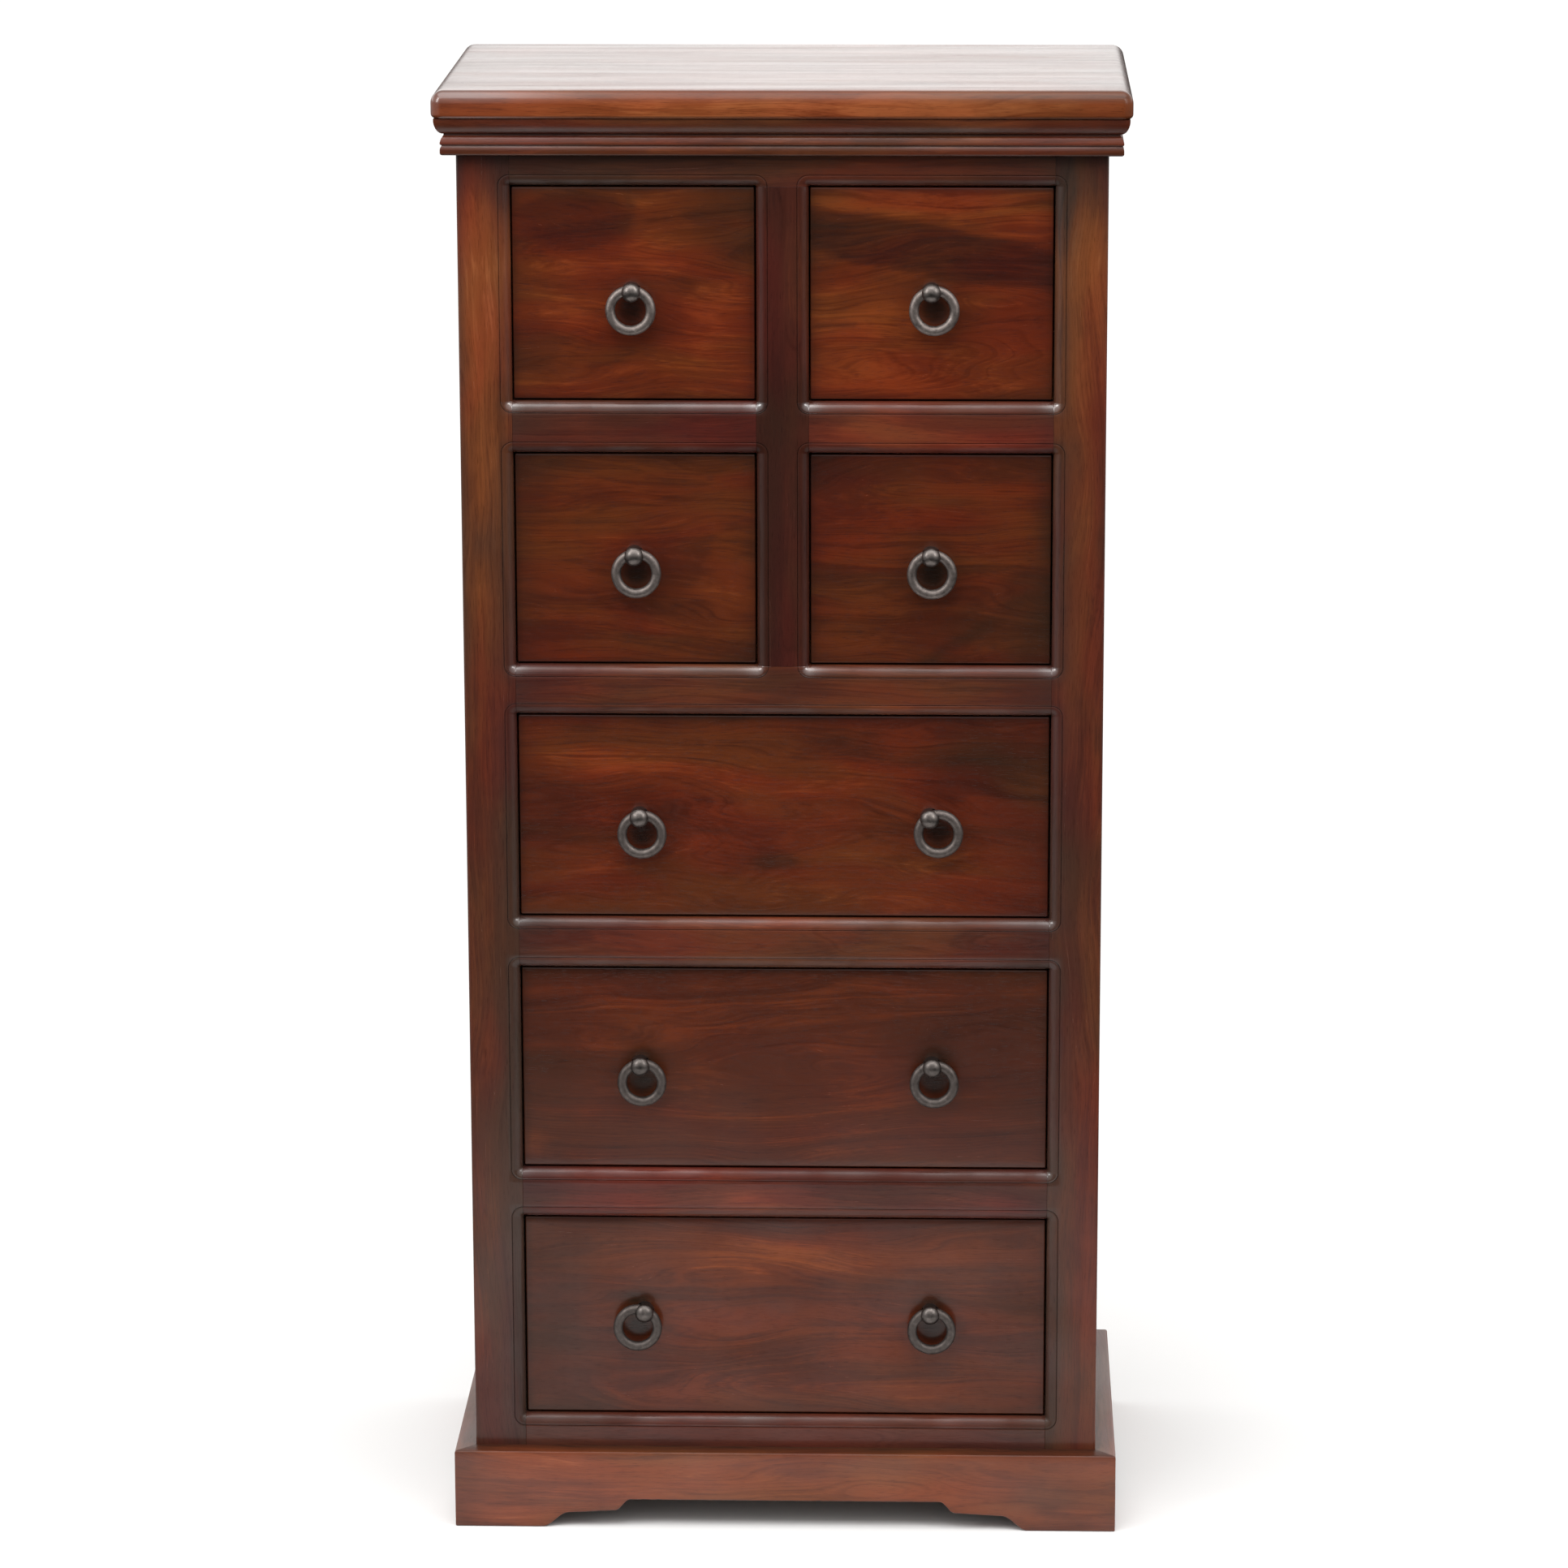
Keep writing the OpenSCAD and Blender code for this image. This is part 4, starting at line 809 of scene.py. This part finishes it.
# ---- drawers ----------------------------------------------------
DRAWERS = {
    "1l": dict(r=0, x=SMALL[0], base=.44, c=(-35, 35),
               warm=[(-.52, .70, .42, .25, -.24, 0, .85), (.20, .55, .28, .40, .16, -.3, .3), (-.25, .24, .75, .10, .16, .05, .4), (.70, -.12, .30, .20, .26, 0, .6), (-.20, -.92, .8, .10, .18, 0, .2),
                     (-.45, -.15, .35, .14, .12, -.2, .3), (.45, -.62, .5, .25, .10)],
               dark=[(.85, .70, .30, .34, .34, 0, .3), (-.84, -.50, .22, .27, .30, .2, .6), (.10, -.42, .30, .16, .20, 0, .2), (-.06, .72, .05, .22, .30, 0, .3), (.55, .13, .40, .014, .34, 0, .8),
                     (-.3, .40, .5, .03, .16, .1, .3)]),
    "1r": dict(r=0, x=SMALL[1], base=.50, c=(20, -60),
               warm=[(0, .88, 1.4, .12, .24, -.03, .4), (0, .42, 1.5, .21, -.44, -.20, .9), (-.55, -.20, .5, .25, .18, 0, .2), (-.3, -.72, .9, .26, .16, 0, .2), (.7, -.4, .4, .4, -.06)],
               dark=[(.92, .25, .16, .5, .15), (-.78, -.31, .20, .018, .50, 0, .6), (-.7, .64, .5, .02, .28, 0, .5), (.3, -.2, .3, .3, .06), (-.1, .10, .9, .02, .24, -.20, .5), (.2, .68, .8, .016, .18, -.1, .5)]),
    "2l": dict(r=1, x=SMALL[0], base=.375, c=(30, 70),
               warm=[(.1, .72, .7, .22, .06), (-.3, .10, .4, .16, .08), (.78, -.20, .24, .34, .20, 0, .4), (-.45, -.70, .3, .2, .05), (-.1, .42, .8, .05, .10)],
               dark=[(-.94, -.1, .14, 1.2, .16, 0, .3), (-.75, -.55, .2, .4, .08, 0, .2), (.25, -.62, .40, .20, .28, 0, .4), (-.2, .38, .7, .025, .34, .02, .4), (-.3, .24, .5, .02, .2), (.95, -.9, .2, .2, .2),
                     (-.85, .92, .3, .15, .28), (.05, -.28, .3, .1, .15)]),
    "2r": dict(r=1, x=SMALL[1], base=.335, c=(-10, 60),
               warm=[(.1, .62, .5, .25, .12), (.6, .5, .4, .2, .06), (-.60, -.62, .34, .22, .10, 0, .3), (-.2, .05, .7, .06, .08), (-.7, .1, .3, .1, .05)],
               dark=[(.86, -.50, .26, .42, .50, 0, .2), (.50, -.34, .42, .10, .24, .75, .2), (.40, -.66, .40, .09, .28, .8, .2), (.14, -.84, .28, .08, .26, .8, .2), (-.92, .9, .3, .22, .4), (-.2, .28, .8, .03, .24, .05, .4),
                     (.0, .02, .8, .025, .24, .08, .4), (-.4, -.22, .5, .06, .2), (.95, .3, .1, .7, .3), (-.5, -.5, .8, .5, .10)]),
    "3": dict(r=2, x=(-HOLE_X, HOLE_X), base=.41, c=(40, -30),
              warm=[(-.30, -.55, 1.1, .35, .07), (-.64, .62, .26, .22, .15, -.1, .5), (-.85, .0, .18, .35, -.16), (.1, .35, .4, .2, .05), (.76, .55, .22, .35, -.2), (-.15, -.75, .3, .16, .08), (.52, -.6, .2, .3, .04), (.80, .22, .16, .12, .10)],
              dark=[(-.1, 1.0, .9, .09, .50), (.25, .72, .14, .10, .36, 0, .4), (.78, .55, .20, .40, .44), (-.90, .05, .14, .5, .32), (-.30, -.10, .10, .05, .4, 0, .5), (-.42, .02, .07, .09, .45, 0, .5),
                    (-.04, -.45, .09, .08, .45, 0, .5), (.90, -.2, .15, .8, .33), (-.62, -.62, .4, .25, .15), (.45, -.15, .5, .04, .16, .04, .4), (-.1, .12, .6, .03, .14, 0, .4)]),
    "4": dict(r=3, x=(-HOLE_X, HOLE_X), base=.285, c=(10, 90),
              warm=[(.35, -.25, .35, .30, .08), (-.55, .42, .20, .35, .06, 0, .2), (-.97, -.80, .06, .12, .36), (.15, -.72, .4, .14, .10), (0, .85, .5, .06, .10), (.70, .2, .3, .5, -.14)],
              dark=[(-.9, -.1, .16, .8, .36), (.86, -.1, .16, .9, .36), (.55, .3, .18, .4, .24, 0, .2), (-.45, -.62, .3, .12, .20), (-.1, 1.0, .8, .08, .34), (.1, .1, .35, .25, .12), (-.2, -.3, .9, .04, .12, 0, .3)]),
    "5": dict(r=4, x=(-HOLE_X, HOLE_X), base=.37, c=(-20, -70),
              warm=[(-.24, .62, .34, .20, .13, 0, .3), (.12, .55, .3, .14, .14, -.3, .2), (-.2, -.15, .5, .12, .08), (.35, -.1, .3, .3, .06)],
              dark=[(-.86, .0, .18, 1.0, .56), (.88, .0, .16, 1.0, .36), (-.15, .18, .6, .10, .30, -.15, .3), (.35, .35, .4, .10, .24, .2, .3), (-.55, .92, .3, .12, .3), (.1, -.5, .7, .10, .20, 0, .2), (.0, -.95, 1.2, .08, .2)]),
}
m_in = wood("wood_drawer_sides", "y", 70, (100, 0), 90, 0.0, 6.0, 0.35, 1.0, stops=RAW, gloss=0.52, coat=0.0, coat_rough=0.3, painted=False, bump=0.3)
m_in_x = wood("wood_drawer_backs", "x", 71, (100, 0), 90, 0.0, 6.0, 0.35, 1.0, stops=RAW, gloss=0.52, coat=0.0, coat_rough=0.3, painted=False, bump=0.3)
m_bot = wood("plywood_drawer_bottoms", "xy", 72, (0, 0), 300, 0.0, 9.0, 0.35, 1.4, stops=PLY, gloss=0.5, coat=0.0, coat_rough=0.3, painted=False, bump=0.2)
# lit and shaded copies of one iron: posts and rings are made darker row by row down the chest, as painted shade for how
# the light falls on the lower rows
m_post = [iron("iron_posts_%d" % (k + 1), tuple(c * f for c in (0.128, 0.112, 0.104)), 0.36) for k, f in enumerate((1.0, 0.95, 0.9, 0.72, 0.72))]
m_ring = [iron("iron_rings_%d" % (k + 1), tuple(c * f for c in (0.150, 0.128, 0.118)), 0.52) for k, f in enumerate((1.22, 1.0, 0.78, 0.64, 0.58))]
m_steel = iron("iron_fixings", (0.44, 0.43, 0.42), 0.34)


def lathe(profile, segs=48, wobble=0.0, seed=0, radial=None):
    """Revolves (radius, height) about +z. A point on the axis closes the surface."""
    co, faces, rows = [], [], []
    for r, h in profile:
        if r < 1e-6:
            rows.append([len(co)])
            co.append((0, 0, h))
        else:
            row = []
            for k in range(segs):
                a = 2 * math.pi * k / segs
                rr = r * (radial(a) if radial else 1.0)
                if wobble:
                    rr -= wobble * (0.5 + 0.5 * float(vnoise(np.array([math.cos(a) * 2.1 + 5]), np.array([math.sin(a) * 2.1 + h / 4.0]), seed)[0]))
                row.append(len(co))
                co.append((rr * math.cos(a), rr * math.sin(a), h))
            rows.append(row)
    for a, b in zip(rows, rows[1:]):
        if len(a) == 1 and len(b) == 1:
            continue
        for k in range(segs):
            k2 = (k + 1) % segs
            if len(a) == 1:
                faces.append((a[0], b[k], b[k2]))
            elif len(b) == 1:
                faces.append((a[k], a[k2], b[0]))
            else:
                faces.append((a[k], a[k2], b[k2], b[k]))
    return np.array(co, float), faces


def pull_pose(row, s):
    """Matrix that puts a pull drawn along +z, hole along x, on its drawer."""
    t = math.radians(LEAN[row][0 if s < 0 else 1])
    m = Matrix.Translation((s * 129.0 + PULL_DX[row][0 if s < 0 else 1], FACE_Y + 8, PULL_Z[row])) @ Matrix.Rotation(-t, 4, "Y") @ Matrix.Rotation(math.radians(90), 4, "X")
    return m


def moved(co, m):
    return co @ np.array(m.to_3x3()).T + np.array(m.translation)


DOME = 5.5
DR = (8.4 ** 2 + DOME ** 2) / (2 * DOME)
POST = [(0, -3.0), (2.4, -3.0), (3.0, -2.6), (3.0, 0.05), (5.7, 0.05), (6.1, 0.3), (6.25, 0.9), (6.4, 1.6), (6.9, 2.6), (7.6, 3.8), (8.1, 4.6), (8.35, 5.6)] \
    + [(8.4, 7), (8.4, 9), (8.4, 11), (8.4, 13), (8.4, 15), (8.38, 16.2)] \
    + [(math.sqrt(max(0, DR ** 2 - (DR - DOME + h) ** 2)) * 0.995, 16.5 + h) for h in (0.35, 0.9, 1.6, 2.4, 3.2, 4.0, 4.7, 5.2, 5.45)] + [(0, 22.0 - 0.03)]
SHANK = [(0, -26.9), (2.2, -26.9), (2.9, -26.3)] + [p for k in range(9) for p in ((2.95, -26.0 + k), (2.55, -25.55 + k))] + [(2.9, -17.3), (2.9, -2.9), (0, -2.9)]
WASHER = [(3.2, -19.5), (8.7, -19.5), (9.0, -19.3), (9.0, -18.15), (8.8, -18.0), (3.2, -18.0)]
NUT = [(3.05, -24.5), (5.0, -24.5), (5.8, -24.1), (5.8, -20.0), (5.0, -19.62), (3.05, -19.62)]


def closed_lathe(profile, segs, radial=None, inner_plain=True):
    """Revolves a closed section that does not touch the axis."""
    q = len(profile)
    co, faces = [], []
    for k in range(segs):
        a = 2 * math.pi * k / segs
        for r, h in profile:
            rr = r * (radial(a) if radial and r > 4.0 else 1.0)
            co.append((rr * math.cos(a), rr * math.sin(a), h))
    for k in range(segs):
        k2 = (k + 1) % segs
        for j in range(q):
            j2 = (j + 1) % q
            faces.append((k * q + j, k * q + j2, k2 * q + j2, k2 * q + j))
    return np.array(co, float), faces


def hexagon(a):
    return math.cos(math.pi / 6) / math.cos((a % (math.pi / 3)) - math.pi / 6)


def pull_piece(row, s, body, replaces):
    tag = "%d%s" % (row + 1, "l" if s < 0 else "r")
    m = pull_pose(row, s)
    co, faces = lathe(POST, 56, 0.10, 90 + row * 2 + s)
    ob = make("post_" + tag, moved(co, m), faces, body, m_post[row], angle=40, replaces=replaces)
    # the ring's cross hole
    hole = bpy.data.meshes.new("hole")
    hc, hf = lathe([(0, -15), (6.05, -15), (6.05, 15), (0, 15)], 40)
    rot = m @ Matrix.Translation((0, 0, 11.0)) @ Matrix.Rotation(math.radians(90), 4, "Y")
    hole.from_pydata((moved(hc, rot) * MM).tolist(), [], hf)
    ho = bpy.data.objects.new("hole_cutter", hole)
    bpy.context.scene.collection.objects.link(ho)
    bm = bmesh.new(); bm.from_mesh(hole); bmesh.ops.recalc_face_normals(bm, faces=bm.faces); bm.to_mesh(hole); bm.free()
    md = ob.modifiers.new("hole", "BOOLEAN")
    md.operation = "DIFFERENCE"
    md.solver = "EXACT"
    md.object = ho
    bpy.context.view_layer.update()
    dg = bpy.context.evaluated_depsgraph_get()
    new = bpy.data.meshes.new_from_object(ob.evaluated_get(dg))
    ob.modifiers.clear()
    ob.data = new
    new.shade_smooth()
    new.set_sharp_from_angle(angle=math.radians(38))
    bpy.data.objects.remove(ho)
    bv = ob.modifiers.new("soft_edges", "BEVEL")
    bv.width = 0.0004
    bv.segments = 2
    bv.limit_method = "ANGLE"
    bv.angle_limit = math.radians(50)
    sc, sf = lathe(SHANK, 24)
    make("shank_" + tag, moved(sc, m), sf, body, m_steel, angle=50)
    wc, wf = closed_lathe(WASHER, 40)
    make("washer_" + tag, moved(wc, m), wf, body, m_steel, angle=40)
    nc, nf = closed_lathe(NUT, 48, hexagon)
    make("nut_" + tag, moved(nc, m), nf, body, m_steel, angle=25)


def ring_piece(row, s):
    tag = "%d%s" % (row + 1, "l" if s < 0 else "r")
    lo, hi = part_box("ring_" + tag)
    c = np.array([(lo[i] + hi[i]) / 2 / MM for i in range(3)])
    R, r, nu, nv = 17.6, 4.4, 96, 28
    a, b = np.meshgrid(2 * np.pi * np.arange(nu) / nu, 2 * np.pi * np.arange(nv) / nv, indexing="ij")
    seed = 300 + row * 7 + s
    n1 = vnoise(np.cos(a) * 3.4 + 9, np.sin(a) * 3.4 + np.cos(b) * 0.8, seed)
    n2 = vnoise(np.cos(a) * 9 + np.cos(b) * 1.6, np.sin(a) * 9 + np.sin(b) * 1.6, seed + 1)
    rr = r - 0.16 * (0.5 + 0.5 * n1) - 0.09 * (0.5 + 0.5 * n2)
    q = R - 0.05 + rr * np.cos(b)
    co = np.stack([c[0] + q * np.sin(a), c[1] + rr * np.sin(b), c[2] + q * np.cos(a)], -1).reshape(-1, 3)
    faces = [(i * nv + j, i * nv + (j + 1) % nv, ((i + 1) % nu) * nv + (j + 1) % nv, ((i + 1) % nu) * nv + j) for i in range(nu) for j in range(nv)]
    make("ring_%s_iron" % tag, co, faces, "ring_pull_" + tag, m_ring[row], angle=60, replaces=["ring_" + tag])


def ring_centre(row, s):
    lo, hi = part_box("ring_%d%s" % (row + 1, "l" if s < 0 else "r"))
    return (lo[0] + hi[0]) / 2 / MM, (lo[2] + hi[2]) / 2 / MM


for i, (tag, d) in enumerate(DRAWERS.items()):
    r, (x0, x1) = d["r"], d["x"]
    body = "drawer_" + tag
    a = (x0 + GAP_SIDE, FACE_Y + 8, LOW[r] + GAP_LOW)
    b = (x1 - GAP_SIDE, FACE_Y + 26, HIGH[r] - GAP_TOP)
    zc = (a[2] + b[2]) / 2
    mt = wood("wood_drawer_" + tag, "x", 80 + i, (zc + d["c"][1], FACE_Y + 8), d["c"][0] if abs(d["c"][0]) > 25 else 30, 0.02 * (-1) ** i, 5.4, 0.34, 1.15, shear=0.05 * (-1) ** (i // 2), hues=1.0 if r < 3 else 0.4)
    sides = [(-1 if x1 < 0 else 1)] if r < 2 else [-1, 1]
    slab("drawer_%s_front" % tag, a, b, "-y", body, mt, 1.4, 0.6, step=4.5 if r < 2 else 5.5, wave=0.10, seed=200 + i,
         paint=drawer_paint(a[0], b[0], a[2], b[2], d["base"], d["warm"], d["dark"], seed=400 + 20 * i,
                            rings=[ring_centre(r, q) for q in sides]), replaces=["d%s_front" % tag])
    for s in sides:
        pull_piece(r, s, body, ["d%s_pull" % tag])
        ring_piece(r, s)


# ---- pieces that keep their CAD shape ----------------------------
def dress(node, mat, width=0.5):
    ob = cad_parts[node]
    ob.data.materials.clear()
    ob.data.materials.append(mat)
    wd = ob.modifiers.new("weld", "WELD")
    wd.merge_threshold = 0.00002
    bv = ob.modifiers.new("arris", "BEVEL")
    bv.width = width * MM
    bv.segments = 2
    bv.limit_method = "ANGLE"
    bv.angle_limit = math.radians(40)


for tag in DRAWERS:
    dress("d%s_box" % tag, m_in)
    dress("d%s_bottom" % tag, m_bot, 0.3)
dress("runners", m_in)
dress("bottom_board", m_bot, 0.3)
dress("back_rails", m_in_x)
dress("centre_batten", wood("wood_batten", "z", 73, (0, 150), 60, 0.0, 5.0, 0.3, 0.8, stops=RAW, gloss=0.52, coat=0.0, painted=False))


# ================================================================= stage, light, camera
def stage_material(name, colour):
    m = bpy.data.materials.new(name)
    m.use_nodes = True
    b = m.node_tree.nodes["Principled BSDF"]
    b.inputs["Base Color"].default_value = (*colour, 1)
    b.inputs["Roughness"].default_value = 0.9
    b.inputs["Specular IOR Level"].default_value = 0.1
    return m


m_floor = stage_material("floor_white", (0.61, 0.61, 0.607))
# the lit sheet of floor fades out into the white of the studio
ft = m_floor.node_tree
fo = ft.nodes["Material Output"]
fb = ft.nodes["Principled BSDF"]
f_tr = _n(ft, "ShaderNodeBsdfTransparent")
f_mix = _n(ft, "ShaderNodeMixShader")
f_co = _n(ft, "ShaderNodeTexCoord")
f_se = _n(ft, "ShaderNodeSeparateXYZ")
ft.links.new(f_co.outputs["Object"], f_se.inputs[0])
f_y = _math(ft, "ADD", f_se.outputs[1], 0.35)
f_r = _math(ft, "SQRT", _math(ft, "ADD", _math(ft, "MULTIPLY", f_se.outputs[0], f_se.outputs[0]), _math(ft, "MULTIPLY", f_y, f_y)))
ft.links.new(_range(ft, f_r, 0.60, 1.25, 0.0, 1.0, True), f_mix.inputs[0])
ft.links.new(fb.outputs[0], f_mix.inputs[1])
ft.links.new(f_tr.outputs[0], f_mix.inputs[2])
ft.links.new(f_mix.outputs[0], fo.inputs[0])

fl = bpy.data.meshes.new("floor")
fl.from_pydata([(2.6 * math.cos(2 * math.pi * k / 96), 2.6 * math.sin(2 * math.pi * k / 96), 0) for k in range(96)], [], [tuple(range(96))])
floor = bpy.data.objects.new("floor", fl)
bpy.context.scene.collection.objects.link(floor)
fl.materials.append(m_floor)

world = bpy.data.worlds.new("studio")
bpy.context.scene.world = world
world.use_nodes = True
wt = world.node_tree
wt.nodes.clear()
wo = _n(wt, "ShaderNodeOutputWorld")
bg = _n(wt, "ShaderNodeBackground")
wt.links.new(bg.outputs[0], wo.inputs[0])
wtc = _n(wt, "ShaderNodeTexCoord")
ws = _n(wt, "ShaderNodeSeparateXYZ")
wt.links.new(wtc.outputs["Generated"], ws.inputs[0])
# a white room: bright behind the chest, a lit wall band in front at eye level, dimmer above it, brighter on the left
above = _range(wt, ws.outputs[2], 0.02, 0.10, 0.0, 1.0, True)
back = _range(wt, ws.outputs[1], -0.10, 0.40, 0.0, 1.0, True)
front = _math(wt, "SUBTRACT", 1.0, back)
left = _range(wt, ws.outputs[0], -0.35, -0.85, 0.0, 1.0, True)
f_val = _math(wt, "ADD", _range(wt, ws.outputs[2], 0.0, 0.56, 0.42, 1.15), _range(wt, ws.outputs[2], 0.50, 0.92, 0.0, 0.9, True))
b_val = _range(wt, ws.outputs[2], 0.12, 0.50, 1.55, 0.8)
room = _math(wt, "ADD", _math(wt, "MULTIPLY", front, f_val), _math(wt, "MULTIPLY", back, b_val))
room = _math(wt, "MULTIPLY_ADD", room, above, 0.04)
right = _range(wt, ws.outputs[0], 0.45, 0.90, 0.0, 1.0, True)
sides = _math(wt, "ADD", _math(wt, "MULTIPLY", left, 0.65), _math(wt, "MULTIPLY", right, 0.42))
deep_down = _range(wt, ws.outputs[2], -0.50, -0.20, 0.0, 1.0, True)
high_up = _range(wt, ws.outputs[2], 0.35, 0.65, 1.0, 0.0, True)
room = _math(wt, "ADD", room, _math(wt, "MULTIPLY", sides, _math(wt, "MULTIPLY", deep_down, high_up)))
lp = _n(wt, "ShaderNodeLightPath")
room = _math(wt, "MAXIMUM", room, _math(wt, "MULTIPLY", lp.outputs["Is Camera Ray"], 1.1))
wt.links.new(room, bg.inputs["Strength"])
bg.inputs["Color"].default_value = (1.0, 0.99, 0.98, 1)


def area(name, loc, target, sx, sy, power, colour=(1, 1, 1)):
    ld = bpy.data.lights.new(name, "AREA")
    ld.shape = "RECTANGLE"
    ld.size, ld.size_y = sx, sy
    ld.energy = power
    ld.color = colour
    ob = bpy.data.objects.new(name, ld)
    bpy.context.scene.collection.objects.link(ob)
    d = Vector(target) - Vector(loc)
    ob.matrix_world = Matrix.Translation(loc) @ d.to_track_quat("-Z", "Y").to_matrix().to_4x4()
    return ob


key = area("key", (-0.40, -2.25, 3.35), (0, 0, 0.8), 1.7, 1.2, 34)
key.visible_glossy = False
area("overhead", (0, -0.50, 2.95), (0, -0.50, 0), 3.0, 2.2, 48)
area("softbox_left", (-2.3, -1.5, 2.5), (0, -0.15, 0.9), 0.85, 1.7, 40)
area("softbox_right", (2.3, -1.5, 2.5), (0, -0.15, 0.9), 0.80, 1.7, 32)

cam_data = bpy.data.cameras.new("camera")
cam = bpy.data.objects.new("camera", cam_data)
bpy.context.scene.collection.objects.link(cam)
cam_data.sensor_width = 36.0
cam_data.sensor_fit = "AUTO"
cam_data.lens = 7206.3 / 1932 * 36.0
cam_data.clip_start, cam_data.clip_end = 0.05, 100
yaw, pitch, roll = math.radians(1.8235), math.radians(13.7898), math.radians(-0.1470)
fwd = Vector((-math.sin(yaw) * math.cos(pitch), math.cos(yaw) * math.cos(pitch), -math.sin(pitch)))
right0 = Vector((math.cos(yaw), math.sin(yaw), 0))
up0 = right0.cross(fwd)
right = right0 * math.cos(roll) + up0 * math.sin(roll)
upv = -right0 * math.sin(roll) + up0 * math.cos(roll)
rot = Matrix((right, upv, -fwd)).transposed().to_4x4()
cam.matrix_world = Matrix.Translation((0.1593, -5.1439, 1.9140)) @ rot
bpy.context.scene.camera = cam
bpy.context.scene.view_settings.view_transform = "Standard"
bpy.context.scene.view_settings.look = "None"
